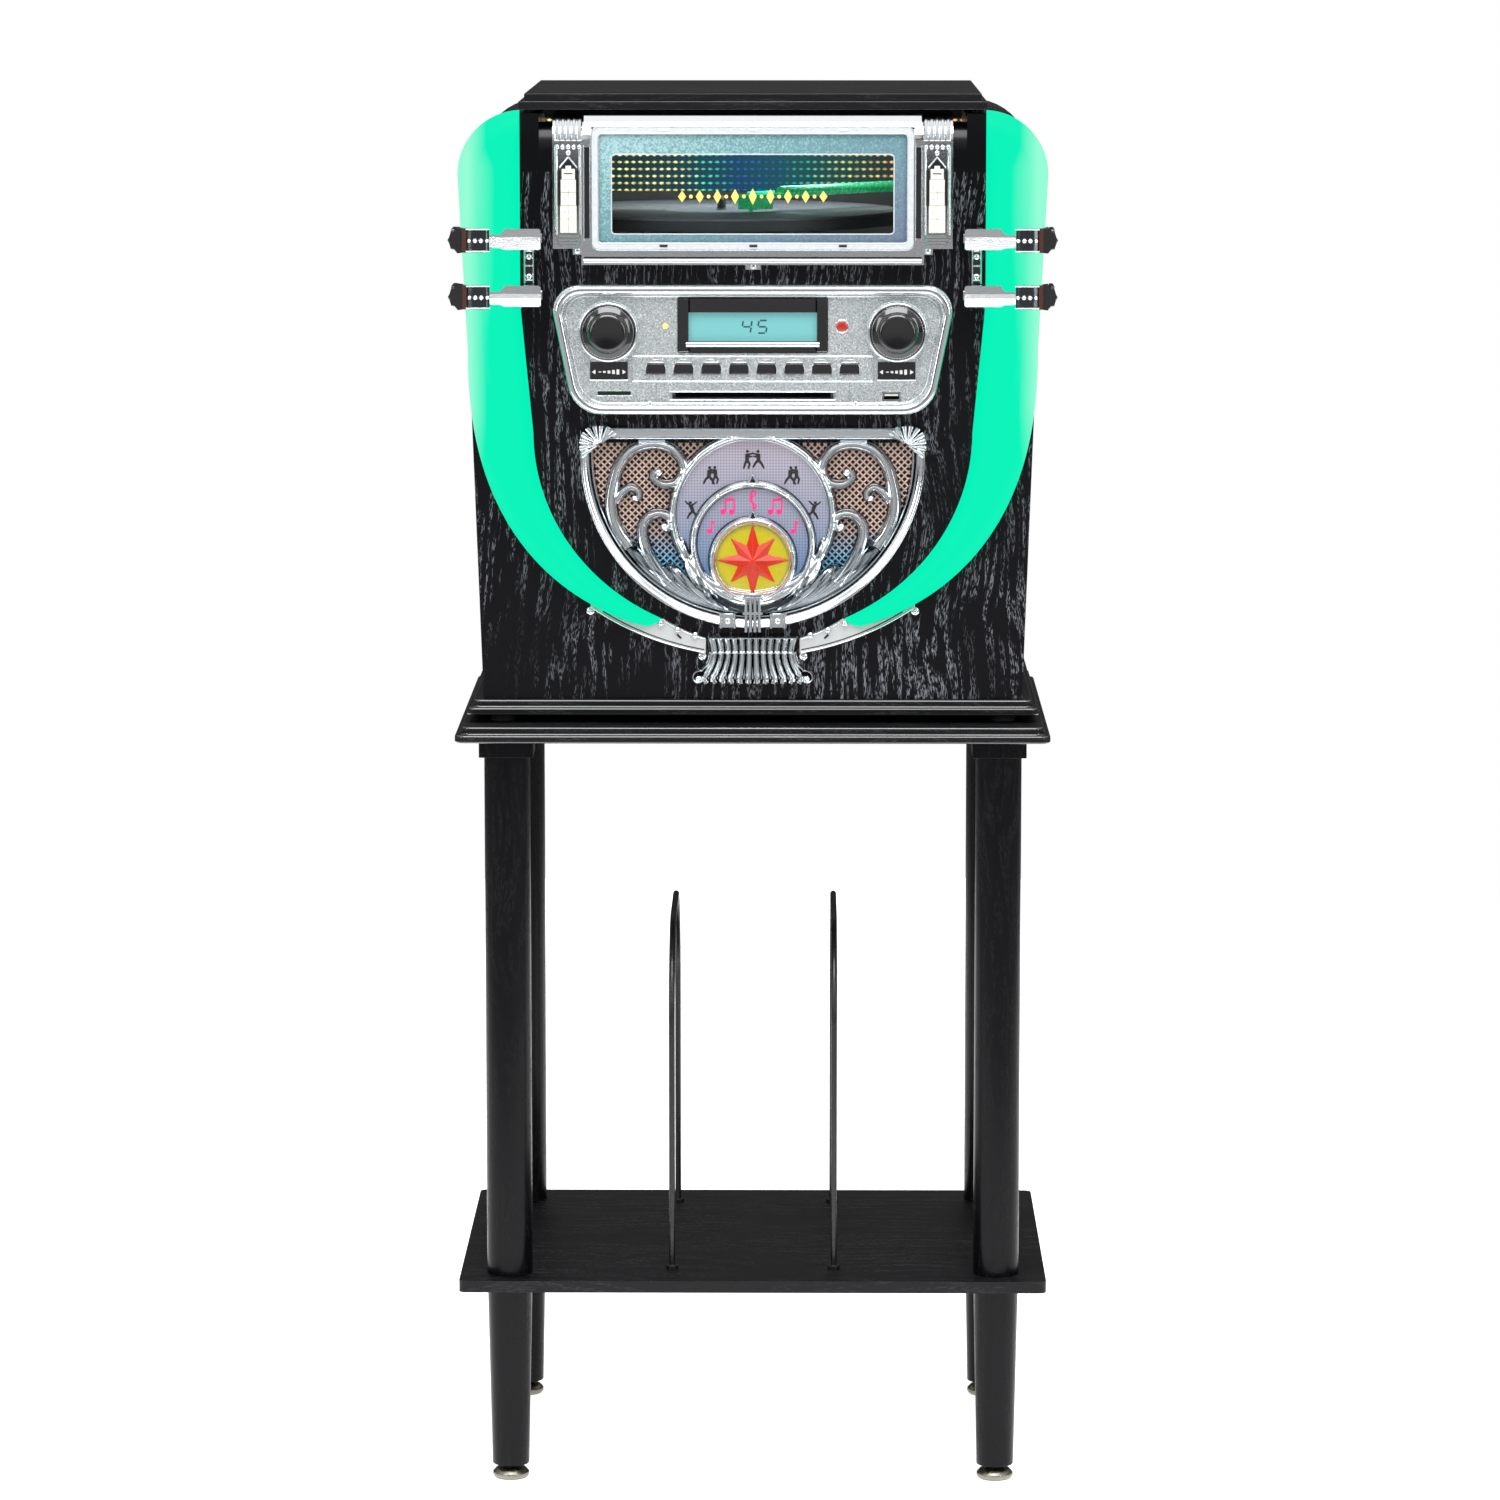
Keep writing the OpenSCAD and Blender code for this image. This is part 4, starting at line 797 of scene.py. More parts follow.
def make_pillar(side, front, trim, dark, towers, marks):
    """Adds one side's pillar to the four lists: a fluted cap, two rails, an ivory tower and a stepped foot,
    with thin dark strips of painted shade.
    """
    flat = front + 3
    mid, post = side * 146.0, side * 139.2
    flute = ((-2.1, 1.8, -1), (-1.3, 0.2, 0), (0, -0.5, 0), (1.3, 0.2, 0), (2.1, 1.8, -1))
    cap = [(y, z) for y, z in win_profile(front - 1.6, WIN_HIGH.z + 0.2)[2:] if z > 1089]
    for x in (mid + 4.4 * k for k in range(-2, 3)):
        trim += [loft([[(x + dx, y + dy, z + dz) for dx, dy, dz in flute] for y, z in cap]),
                 bead(x, 1086.2, 1.9, front - 0.4, 1.4, 12)]
    trim += [upright(mid + d, 1017, 1087, 1.35, front, 2.0) for d in (-9.6, 9.6)]
    trim += [upright(side * x, 1012, 1088, 0.55, flat, 0.9) for x in (129.0, 133.9)]
    trim += [relief([(mid + d, 1070), (mid, 1078.5)], 0.7, front, 1.1) for d in (-7, 7)]
    trim += [slab(mid, half, (front - 2.8 + 0.4 * k, front + 2), (1014.5 - 2.5 * k, 1016.8 - 2.5 * k), 0.7)
             for k, half in enumerate((8.2, 9.0, 8.2, 6.8))]
    trim += [screw(mid, 1081.6, 2.0, front), screw(post, 1004.2, 3.0, FACE - 9),
             slab(post, 4, (FACE - 9, FACE), (1000.6, 1007))]
    # Painted shade: thin dark strips beside the tower, between the thin rails and under the chevron.
    dark += [slab(mid + d, 0.55, (front - 0.3, front + 0.2), (1040, 1068), 0.1) for d in (-7.2, 7.2)]
    dark += [slab(side * 131.4, 2.0, (flat - 0.4, flat + 0.4), (1014, 1086), 0.1),
             plate([(mid - 6, 1070), (mid + 6, 1070), (mid, 1077)], front - 0.4, front + 0.2, 0.1)]
    towers += [slab(mid, half, (front - rise, front + 0.5), (z0, z1), 0.5)
               for half, z0, z1, rise in ((6.5, 1018.6, 1040, 1.4), (6.0, 1040.2, 1060.6, 1.9),
                                          (5.2, 1060.8, 1069, 1.5), (2.2, 1069, 1071.6, 1.2))]
    marks += [slab(mid, half, (front - rise, front - rise + 0.3), (z - thick, z + thick), 0.04)
              for half, z, rise, thick in ((6.3, 1029.6, 1.5, 0.16), (5.8, 1050.4, 2.0, 0.16),
                                           (3.4, 1065.4, 1.6, 0.55))]
    marks += [bead(mid + d, z, 0.45, front - rise + 0.1, 0.2, 8) for d in (-3.1, 3.1)
              for z, rise in ((1024, 1.5), (1035, 1.5), (1045.4, 2.0), (1055.6, 2.0))]
    marks += [slab(mid, 0.12, (front - rise, front - rise + 0.3), z, 0.03)
              for z, rise in (((1019, 1039.6), 1.5), ((1040.6, 1060.2), 2.0))]


# ---------------------------------------------------------------- controls
BUTTON_X = [-77.2 + 22.05 * i for i in range(8)]


def on_panel(x0, x1, z0, z1, proud=0.7, sunk=-0.4, chamfer=0.1):
    """A small plate on the control panel, or let into it."""
    return box((x0, x1), (CTL_FACE - proud, CTL_FACE + sunk), (z0, z1), chamfer)


def control_outline(inset, steps=8):
    """The control panel's outline: narrower at the foot, with round corners."""
    xt, xb = 163.1 - 1.22 * inset, 142.5 - 0.82 * inset
    zt, zb = CTL_HIGH.z - inset, CTL_LOW.z + inset
    corners = [Vector(p) for p in ((-xt, zt), (xt, zt), (xb, zb), (-xb, zb))]
    run = []
    for k, radius in ((1, 20), (2, 27), (3, 27), (0, 20)):
        r = radius - inset / 2
        before, at, after = (corners[(k + d) % 4] for d in (-1, 0, 1))
        u, v = (before - at).normalized(), (after - at).normalized()
        half = u.angle(v) / 2
        start, end = at + u * r / math.tan(half), at + v * r / math.tan(half)
        hub = at + (u + v).normalized() * r / math.sin(half)
        ways = [(start - hub).lerp(end - hub, i / steps).normalized() for i in range(steps + 1)]
        run += [tuple(hub + way * r) for way in ways]
    return run


def make_controls():
    refine("control_panel", SILVER, 0.8)
    rim = relief(control_outline(3.4), 3.3, CTL_LOW.y + 1, 2.4, closed=True)
    lip = relief(control_outline(8.4), 0.8, CTL_FACE, 0.9, closed=True)
    piece("control_chrome_rim", [rim, lip], CHROME)
    parts = four_bars(-96, 96, 900, 920, 0.7, CTL_FACE, 0.8)
    for s in (-1, 1):
        x, z = s * 115.0, 939.6
        parts += [ring((x, z), 22.3, 1.9, CTL_LOW.y + 1.2, 2.6), ring((x, z), 19.6, 0.6, CTL_FACE + 1, 2.0),
                  screw(s * 82, 882, 2.4, CTL_FACE), upright(s * 77, 876, 899, 0.5, CTL_FACE, 0.6),
                  upright(s * 65.4, 885.4, 891.8, 0.7, CTL_FACE, 1.0)]
        parts += [bead(x + 22.6 * math.cos(a), z + 22.6 * math.sin(a), 1.2, CTL_LOW.y + 0.2, 1.0, 10)
                  for a in map(math.radians, (90, 210, 330))]
        parts += four_bars(s * 99, s * 130, 901, 919, 0.7, CTL_FACE, 0.9)
    parts += [level(-66, 66, z, 0.7, CTL_FACE, 1.0) for z in (885.4, 891.8)]
    parts.append(level(-53, 53, 929.5, 2.2, -156, 2.2))
    piece("control_chrome_lines", parts, CHROME)
    edges = [-95.5] + [x + d for x in BUTTON_X for d in (-7.2, 7.3)] + [95.5]
    strip = [on_panel(a, b, 900.6, 919.4, 0.5, 0.5, 0.2) for a, b in zip(edges[0::2], edges[1::2])]
    strip += [on_panel(x - 7.25, x + 7.25, z0, z1, 0.5, 0.5, 0.2) for x in BUTTON_X
              for z0, z1 in ((900.6, 905.8), (914.8, 919.4))]
    piece("button_strip", strip, SILVER)
    hood = ((-7.9, 904.5), (-7.9, 911.5), (-6, 915), (6, 915), (7.9, 911.5), (7.9, 904.5))
    hoods = [relief([(x + dx, z) for dx, z in hood], 0.6, CTL_FACE - 0.3, 0.9) for x in BUTTON_X]
    piece("button_hoods", hoods, CHROME)
    port = [on_panel(*wall, -1, 3) for wall in ((103.4, 117.6, 884.6, 885.6), (103.4, 117.6, 890.6, 891.6),
                                                (103.2, 104.2, 884.6, 891.6), (116.8, 117.8, 884.6, 891.6))]
    piece("usb_shell", port, STEEL)
    piece("usb_tongue", [on_panel(105, 116, 888.4, 890, -2, 5)], IVORY)
    labels, marks = [], [on_panel(x - 2.4, x + 2.4, 917.2, 917.9) for x in BUTTON_X]
    for mid in (-114.5, 114.5):
        labels.append(on_panel(mid - 15, mid + 15, 901.4, 915.6, 0.5, 0.4, 0.2))
        for k in range(5):
            x = mid + (k - 2) * 3.6
            marks.append(on_panel(x - 1.1, x + 1.1, 907.2 - 0.4 * k, 908 + 0.4 * k))
        for d in (-1, 1):
            arrow = [(mid + d * 13.6, 907.6), (mid + d * 10.8, 909.4), (mid + d * 10.8, 905.8)]
            marks.append(plate(arrow, CTL_FACE - 0.7, CTL_FACE - 0.4, 0.1))
    piece("knob_label_plates", labels, GLOSS)
    piece("control_marks", marks, WHITE_PRINT)
    piece("standby_lamp", [bead(-69.5, 944, 2.1, CTL_FACE, 1.4)], LAMP)
    piece("remote_window", [bead(71, 944, 4.7, CTL_FACE, 1.3, 28)], RED_WINDOW)
    piece("remote_window_rim", [ring((71, 944), 5.1, 0.7, CTL_FACE, 0.9, 40)], CHROME)
    for i in range(1, 9):
        refine("button_%d" % i, GLOSS, 0.6, 3)
    for control in ("volume", "tuning"):
        make_knob(control + "_knob")
        refine(control + "_stem", STEEL, 0.3)
    make_display()


def make_knob(node):
    """A turned knob; every other point of its grip is drawn in, for the ribs."""
    low, high = span(node)
    centre = ((low.x + high.x) / 2, (low.z + high.z) / 2)
    profile = [(20.2, 15.5), (21, 14.8), (21, 8.5), (20.2, 6.6), (17.6, 5), (16.6, 4.6), (16, 3.4),
               (15.4, 1.6),
               (14.2, 0.4), (13, 0.1), (12.4, 0.7), (6, 1.0), (0.4, 1.1)]
    loops = []
    for k, (radius, back) in enumerate(profile):
        drawn_in = circle(centre, radius - (0.45 if k in (1, 2) else 0.0), 120)
        run = [drawn_in[i] if i % 2 else p for i, p in enumerate(circle(centre, radius, 120))]
        loops.append([(x, low.y + back, z) for x, z in run])
    shaft = lathe([(3, high.y - 0.4), (3, low.y + 15.6)], centre, 24)
    piece(node + "_turned", [loft(loops), shaft], GLOSS, node, (node,), 40)


def make_display():
    low, high = span("lcd_module")
    tall, wide = (low.z, high.z), (-51, 51)
    parts = [box(x, (low.y, -147), z, 1.2) for x, z in (((low.x, -51), tall), ((51, high.x), tall),
                                                        (wide, (955, high.z)), (wide, (low.z, 932)))]
    piece("display_bezel", parts, GLOSS, replaces=("lcd_module",))
    piece("display_glass", [box(wide, (-153.2, -151), (932, 955), 0.2)], LCD)
    w, h, lean, gap = 7.0, 10.0, 0.14, 0.12
    lines = {"a": ((0, h), (w, h)), "b": ((w, h / 2), (w, h)), "c": ((w, 0), (w, h / 2)),
             "d": ((0, 0), (w, 0)),
             "f": ((0, h / 2), (0, h)), "g": ((0, h / 2), (w, h / 2))}
    marks = []
    for x, digit in ((-9, "bcfg"), (3.5, "acdfg")):
        for (x0, z0), (x1, z1) in (lines[key] for key in digit):
            along, up = gap * (x1 - x0), gap * (z1 - z0)
            marks.append(relief([(x + x0 + lean * z0 + along, 938.5 + z0 + up),
                                 (x + x1 + lean * z1 - along, 938.5 + z1 - up)], 0.75, -153.1, 0.35))
    piece("display_digits", marks, DIGITS)


# ---------------------------------------------------------------- speaker grille
RING_BIG = (0.0, 793.0, 64.0)
RING_MID = (0.0, 770.0, 47.6)
RING_STAR = (0.0, 756.6, 32.0)
GRILLE_Z = 840.0
GRILLE_R = 138.0
BED = -150.2              # the plane that the scrolls stand on
RING_BED = -151.6         # the plane that the inner rings stand on
DIAGONAL = 0.7071


def grille_path(inset, steps=72):
    run = [(GRILLE_R - inset, GRILLE_Z + 22 - inset)]
    for i in range(steps + 1):
        a = math.radians(-180 * i / steps)
        run.append(((GRILLE_R - inset) * math.cos(a), GRILLE_Z + (GRILLE_R - inset) * math.sin(a)))
    run.append((inset - GRILLE_R, GRILLE_Z + 22 - inset))
    return run


def make_grille():
    front = GRILLE_LOW.y
    deep = FACE - front
    parts = [relief(grille_path(4.2), 4.1, FACE, deep - 0.8, section=SWELL),
             relief(grille_path(9.8), 1.2, FACE - 3, deep - 3.2),
             relief(grille_path(0.9), 0.8, FACE - 3, deep - 3.4),
             relief([(-118, 858.6), (118, 858.6)], 3.9, FACE, deep - 1.2, section=BAND),
             level(-118, 118, 862.6, 0.8, FACE - 3, deep - 3.2),
             level(-118, 118, 854.6, 0.9, FACE - 3, deep - 3.2),
             level(-91, -70, 852.4, 1.6, BED, 5)]
    # Painted shade: the dark-plated ground behind the ribs, the dark outlines under the scrolls and the dark
    # rings under the rings stand for the casting's shadows and dark reflections.
    shade = [fan_ground()]
    for k in range(7):
        radius = 124.5 - 9.2 * k
        path = [(-radius * math.sin(a), 714 + radius - radius * math.cos(a))
                for a in (math.radians((66 - k) * (1 - i / 26) + 4 * i / 26) for i in range(27))]
        parts.append(relief(path, lambda t: 0.5 + 2.9 * math.sin(math.pi * min(1, t * 0.85 + 0.04)), -151, 7,
                            section=RIDGE))
    for points, big, small in scroll_runs():
        run = curve(points, 8)
        parts.append(relief(run, taper(big, small), BED, taper(big * 1.7, small * 2.2), section=TWIN))
        # Painted shade: a dark outline under each scroll.
        shade.append(relief(run[4:], taper(big + 1.0, small + 0.9), BED, 2.2))
    parts += [bead(x, z, radius, -152, radius * 1.2, 16)
              for x, z, radius in ((-75.2, 827.0, 3.3), (-94.6, 806.6, 2.1), (-70.8, 783.6, 3.0))]
    for leaf in (((-55.5, 775), (-54, 762), (-48, 745), (-37, 730), (-20, 718)),
                 ((-47.5, 768), (-46.5, 757), (-42, 744), (-33, 731), (-18, 720)),
                 ((-68, 754), (-62, 748), (-51, 735), (-37, 723), (-18, 715.5))):
        parts.append(relief(curve(leaf, 8), lambda t: 0.5 + 3.6 * math.sin(math.pi * min(1, 0.1 + t)),
                            -152, 6, section=RIDGE))
    parts += shell_ribs(front)
    parts.append(bead(-125, 852, 3.0, front + 2, 3.2, 16))
    shade = [mirror_parts(merge(*shade)), ring(RING_BIG[:2], RING_BIG[2], 4.1, BED, 3.0),
             ring(RING_MID[:2], RING_MID[2], 3.6, RING_BED, 2.4),
             ring(RING_STAR[:2], RING_STAR[2], 4.1, RING_BED, 2.6)]
    piece("grille_shaded_ground", shade, SHADE)
    casting = [mirror_parts(merge(*parts)), *ring_castings(), *grille_foot(front)]
    piece("grille_casting", casting, CHROME, replaces=("grille_frame",))
    make_mesh()
    make_picture()
    make_star()


def shell_ribs(front):
    """A fan of nine ribs at the grille's upper corner, each cut off at the frame's edge."""
    hub = (-122.5, 849.5)
    ribs = []
    for k in range(9):
        a = math.radians(40 + 21.5 * k)
        reach = min(16.5, (hub[0] + 138.2) / max(0.01, -math.cos(a)) if math.cos(a) < 0 else 99,
                    (864.6 - hub[1]) / max(0.01, math.sin(a)) if math.sin(a) > 0 else 99)
        path = [(hub[0] + d * math.cos(a), hub[1] + d * math.sin(a)) for d in (2, reach * 0.6, reach)]
        ribs.append(relief(path, taper(0.9, 2.6), front + 4.4, 5.2))
    return ribs


def ring_castings():
    """The three nested rings, their beads, and a small finial on the inner two."""
    parts = [ring(RING_BIG[:2], RING_BIG[2], 2.9, BED, 6.8), ring(RING_BIG[:2], 60.6, 0.8, RING_BED, 2.2),
             ring(RING_MID[:2], RING_MID[2], 2.5, RING_BED, 5.6),
             ring(RING_STAR[:2], RING_STAR[2], 3.0, RING_BED, 6.4),
             ring(RING_STAR[:2], 29.0, 0.7, RING_BED, 2.8)]
    for (x, z, radius), count, start, end in ((RING_BIG, 13, 0, 180), (RING_MID, 11, 0, 180),
                                              (RING_STAR, 9, -10, 190)):
        for i in range(count):
            a = math.radians(start + (end - start) * i / (count - 1))
            size, rise = (2.0, 2.2) if i % 2 else (1.3, 1.4)
            parts.append(bead(x + radius * math.cos(a), z + radius * math.sin(a), size, -155.8, rise, 12))
    finial = ((-5, 0.6), (-1.5, 4), (0, 8.4), (1.5, 4), (5, 0.6))
    return parts + [relief([(x, hub[1] + hub[2] + z) for x, z in finial], 1.2, -152, 4.5)
                    for hub in (RING_MID, RING_STAR)]


def grille_foot(front):
    """The reeded post below the star, and a block with a screw on each side of it."""
    parts = [relief([(x, 699.5), (x, 714), (x, 727)], 1.7, front + 2, 4.0) for x in (-5.4, -1.8, 1.8, 5.4)]
    parts += [slab(0, 8, (front - 1.6, front + 3), (713.4, 715.6)),
              slab(0, 8, (front - 1.4, front + 3), (726, 727.6))]
    for x in (-20, 20):
        parts += [slab(x, 7, (front + 0.4, front + 6), (702.6, 714.5), 0.8),
                  screw(x, 708.2, 2.3, front + 0.4)]
        parts += [upright(x + d, 702.5, 714.5, 1.3, front + 1, 2.4) for d in (-5.4, 5.4)]
    return parts


def fan_ground():
    """The plain ground under the ribs: between the rim and the rings, left half."""
    outer, inner = [], []
    for i in range(25):
        t = i / 24
        a = math.radians(52 * (1 - t))
        outer.append((-130 * math.sin(a), GRILLE_Z - 130 * math.cos(a)))
        b = math.radians(70 * (1 - t))
        inner.append((-63 * math.sin(b) - 6 * (1 - t), 792 - 63 * math.cos(b) - 22 * (1 - t) ** 2))
    return band_loft(outer, inner)


def band_loft(outer, inner):
    return loft([[(a[0], BED, a[1]), (b[0], BED, b[1]), (b[0], -152, b[1]), (a[0], -152, a[1])]
                 for a, b in zip(outer, inner)])


def scroll_runs():
    """Each scroll as given points, its stem first, with its widest and narrowest half width."""
    big = [(-99, 767), (-107, 779), (-112, 792), (-113, 806), (-110.5, 821), (-106, 834), (-96, 845),
           (-80, 849.5),
           (-65, 846), (-56.4, 836), (-56, 826), (-62, 818.6), (-72, 817.5), (-79, 823), (-77.6, 828.6)]
    curl = [(-109, 803), (-105, 810), (-97.5, 815), (-91.5, 811.5), (-91.8, 806.4), (-95.5, 806)]
    low = [(-68, 738), (-77, 751), (-84, 763), (-88, 776), (-87, 786.5), (-80, 793), (-71, 793.4),
           (-65.6, 788),
           (-66.8, 782.4), (-71, 782.6)]
    return ((big, 4.9, 2.9), (curl, 3.1, 2.0), (low, 4.5, 2.7))


def make_mesh():
    """Woven wires on both diagonals, each passing over and under the next."""
    pitch, half, lift = 3.9, 0.66, 0.4
    verts, faces = [], []
    reach = GRILLE_R - 11

    def inside(x, z):
        if (x / 60) ** 2 + ((z - 793) / 60) ** 2 < 1:
            return False
        if z > GRILLE_Z:
            return z < GRILLE_Z + 11.5 and abs(x) < reach
        return x * x + (z - GRILLE_Z) ** 2 < reach * reach

    for lean in (-1, 1):
        for k in range(-60, 61):
            run = []
            for j in range(-120, 121):
                u, v = k * pitch, j * pitch / 2
                x, z = (u + lean * v) * DIAGONAL, GRILLE_Z - 60 + (v - lean * u) * DIAGONAL
                if inside(x, z):
                    wave = lift * (1 if (k + j // 2) % 2 else -1) * lean * (0 if j % 2 else 1)
                    run.append((x, -149.4 + wave, z))
                elif run:
                    add_ribbon(run, lean, half, verts, faces)
                    run = []
            if run:
                add_ribbon(run, lean, half, verts, faces)
    piece("grille_weave", [(verts, faces)], COPPER)
    backing = plate(grille_path(11), -148.2, -147.3, 0.2)
    piece("grille_backing", [backing], SPEAKER_CLOTH, replaces=("grille_mesh",))


def add_ribbon(run, lean, half, verts, faces):
    if len(run) < 2:
        return
    sx, sz = DIAGONAL * half, -DIAGONAL * lean * half
    loops = [[(x - sx, y, z - sz), (x, y - 0.35, z), (x + sx, y, z + sz), (x, y + 0.15, z)]
             for x, y, z in run]
    v, f = loft(loops)
    base = len(verts)
    verts.extend(v)
    faces.extend(tuple(base + i for i in face) for face in f)


def limb(a, b, w0, w1, y):
    return relief([a, ((a[0] + b[0]) / 2, (a[1] + b[1]) / 2), b], taper(w0, w1), y, 0.35)


def dancer(x, z, size, lean, arms, legs, y):
    """A plain silhouette: head, body, two bent arms and two bent legs."""
    hip, neck = (x, z), (x + lean * size, z + 5.6 * size)
    parts = [bead(neck[0] + lean * size * 0.3, neck[1] + 2.2 * size, 1.45 * size, y, 0.4, 14),
             limb(hip, neck, 1.7 * size, 2.0 * size, y)]
    for elbow, hand in arms:
        elbow = (neck[0] + elbow[0] * size, neck[1] - 0.6 * size + elbow[1] * size)
        hand = (neck[0] + hand[0] * size, neck[1] - 0.6 * size + hand[1] * size)
        parts += [limb((neck[0], neck[1] - 0.6 * size), elbow, 1.0 * size, 0.85 * size, y),
                  limb(elbow, hand, 0.85 * size, 0.6 * size, y), bead(*elbow, 0.85 * size, y, 0.35, 8)]
    for knee, foot in legs:
        knee = (hip[0] + knee[0] * size, hip[1] + knee[1] * size)
        foot = (hip[0] + foot[0] * size, hip[1] + foot[1] * size)
        parts += [limb(hip, knee, 1.35 * size, 1.1 * size, y), limb(knee, foot, 1.1 * size, 0.75 * size, y),
                  bead(*knee, 1.1 * size, y, 0.35, 8)]
    return merge(*parts)


def make_picture():
    refine("picture_panel", PICTURE, 0.2)
    y = span("picture_panel")[0].y
    step = (((-2, -4), (-3, -8)), ((2.4, -3.6), (1.2, -8)))
    stride = (((-3, -3), (-5, -7)), ((3, -3.6), (5, -7.6)))
    hold = (((3, 0.4), (5.4, 1.5)), ((2, -2), (4.6, -1.6)))
    fling = (((-3, 2), (-5.5, 4.6)), ((3, 1.6), (5.6, 3.6)))
    facing = tuple(tuple((-p[0], p[1]) for p in pair) for pair in hold)
    figures = [dancer(-4.6, 837, 0.88, 0.3, hold, step, y), dancer(4.6, 837, 0.88, -0.3, facing, stride, y)]
    for s in (-1, 1):
        figures.append(dancer(s * 32.4 - 2.6, 824, 0.88, 0.5, hold, stride, y))
        figures.append(dancer(s * 32.4 + 2.6, 824.5, 0.84, -0.5, facing, step, y))
        figures.append(dancer(s * 48, 796, 0.86, s * 1.8, fling, stride, y))
    piece("picture_dancers", figures, INK)
    notes = []
    for x, z, kind, grow in ((0, 804, 2, 1.35), (-19, 799.6, 1, 1.45), (19, 799.6, 1, 1.45),
                             (-33.5, 783.5, 0, 1.3),
                             (33.5, 783.5, 0, 1.3)):
        if kind == 2:
            turn = [(0, -5.6), (1.9, -2.4), (-2, 0.6), (1.5, 4.0), (0, 6.0), (-1.0, 3.0), (0.5, -4),
                    (-0.8, -6.2)]
            notes.append(relief(curve([(x + grow * a, z + grow * b) for a, b in turn], 6), 0.7, y, 0.4))
            continue
        for d in (-2.4, 2.4) if kind else (0,):
            stem = x + grow * (d + 0.5)
            notes.append(bead(x + grow * (d - 0.9), z - grow * 2.8, 1.7 * grow, y, 0.45, 14))
            notes.append(relief([(stem, z - grow * 2.6), (stem, z + grow * 3.6)], 0.6, y, 0.4))
        if kind:
            notes.append(relief([(x - grow * 2.2, z + grow * 3.4), (x + grow * 3, z + grow * 4.1)], 1.2, y,
                                0.45))
        else:
            notes.append(relief([(x + grow * 0.5, z + grow * 3.6), (x + grow * 2.8, z + grow)],
                                taper(1.0, 0.4), y,
                                0.4))
    piece("picture_notes", notes, PINK)


def make_star():
    low, high = span("star_medallion")
    hub = RING_STAR[:2]
    dome = [(28.6, high.y), (28.6, -152.6), (27.4, -153.4), (18, -154), (0.4, -154.2)]
    piece("medallion_disc", [lathe(dome, hub, 72)], YELLOW, replaces=("star_medallion",))
    points, base, peak = 8, -153.2, low.y - 3.6
    verts, faces = [(hub[0], peak, hub[1])], []
    for i in range(2 * points):
        a = math.pi * i / points
        radius, y = (14.6, base) if i % 2 else (28.4, base - 0.9) if i % 4 == 0 else (25.6, base - 0.5)
        verts.append((hub[0] + radius * math.sin(a), y, hub[1] + radius * math.cos(a)))
    for i in range(2 * points):
        faces.append((0, 1 + i, 1 + (i + 1) % (2 * points)))
        verts.append((verts[1 + i][0], high.y, verts[1 + i][2]))
    for i in range(2 * points):
        j = (i + 1) % (2 * points)
        faces.append((1 + i, 1 + j, 1 + 2 * points + j, 1 + 2 * points + i))
    faces.append(tuple(range(1 + 2 * points, 1 + 4 * points)))
    star = piece("medallion_star", [(verts, faces)], RED, crease=12)
    soften(star, 0.5, 2)


def make_foot_ornament():
    front = span("foot_ornament")[0].y
    back = FACE - 2
    parts = []
    for u in (k / 5.5 for k in (i - 5.5 for i in range(12))):
        upper = [(u * 33, 694.5), (u * 31.5, 689), (u * 30.5, 683)]
        lower = [(u * 30.5, 682), (u * 32, 675), (u * 35.5, 667.5), (u * 39, 662), (u * 38, 657.5)]
        parts += [relief(curve(upper, 5), 3.1, back, back - front - 1),
                  relief(curve(lower, 5), taper(2.9, 3.5), back, back - front)]
    parts += [level(-33, 33, 682.4, 1.8, FACE - 4, 8.6), level(-35, 35, 694.2, 1.6, FACE - 4, 7.6)]
    for s in (-1, 1):
        curl = [(s * 33, 683), (s * 35, 675), (s * 39.5, 669.5)]
        turns = [(s * (43 - r * math.cos(a)), 662 + r * math.sin(a))
                 for r, a in ((6.2 - 0.9 * t, t * 1.3 + 1.2) for t in (0.35 * i for i in range(17)))]
        parts += [relief(curve(curl, 6) + turns, taper(2.3, 1.2), FACE, 12),
                  bead(s * 43, 661.5, 2.8, FACE - 9, 3.6, 16)]
    half = [(36, 695), (33, 682), (37, 670), (44, 660)]
    parts.append(plate([(-x, z) for x, z in half] + half[::-1], FACE - 3, FACE, 0.5))
    piece("foot_ornament_casting", parts, CHROME, replaces=("foot_ornament",))
    make_lower_trim()


def make_lower_trim():
    refine("lower_trim", TRIM, 0.8, 3)
    tabs, grooves = [], []
    trim_y = span("lower_trim")[0].y
    rim, dip = (909.6, 231.6), (820.5, 132.5)        # the height of each arc's centre, and its radius
    for s in (-1, 1):
        for x, z, base, size in ((130.1, 715, FACE, 3.6), (40.6, 678.5, FACE, 3.6),
                                 (73.7, 705.4, trim_y, 2.8),
                                 (60.3, 700.2, trim_y, 2.8), (46.2, 696, trim_y, 2.8)):
            tabs += [bead(s * x, z, size, base - 0.6, 1.6, 20), screw(s * x, z, 2.1, base - 2.0)]
        for lines, (middle, radius), inset, end, half, rise in ((tabs, rim, 0.9, 128, 0.9, 1.5),
                                                                (grooves, rim, 3.1, 120, 0.55, 0.25),
                                                                (tabs, dip, -0.8, 70, 0.7, 1.0)):
            reach = radius - inset
            arc = [(s * x, middle - math.sqrt(reach * reach - x * x))
                   for x in (39 + (end - 39) * i / 20 for i in range(21))]
            lines.append(relief(arc, half, trim_y, rise))
        grooves.append(relief([(s * 60.6, 696.6), (s * 57.4, 693.4)], 0.9, trim_y, 0.3))
    piece("lower_trim_tabs", tabs, CHROME)
    piece("lower_trim_grooves", grooves, GLOSS)


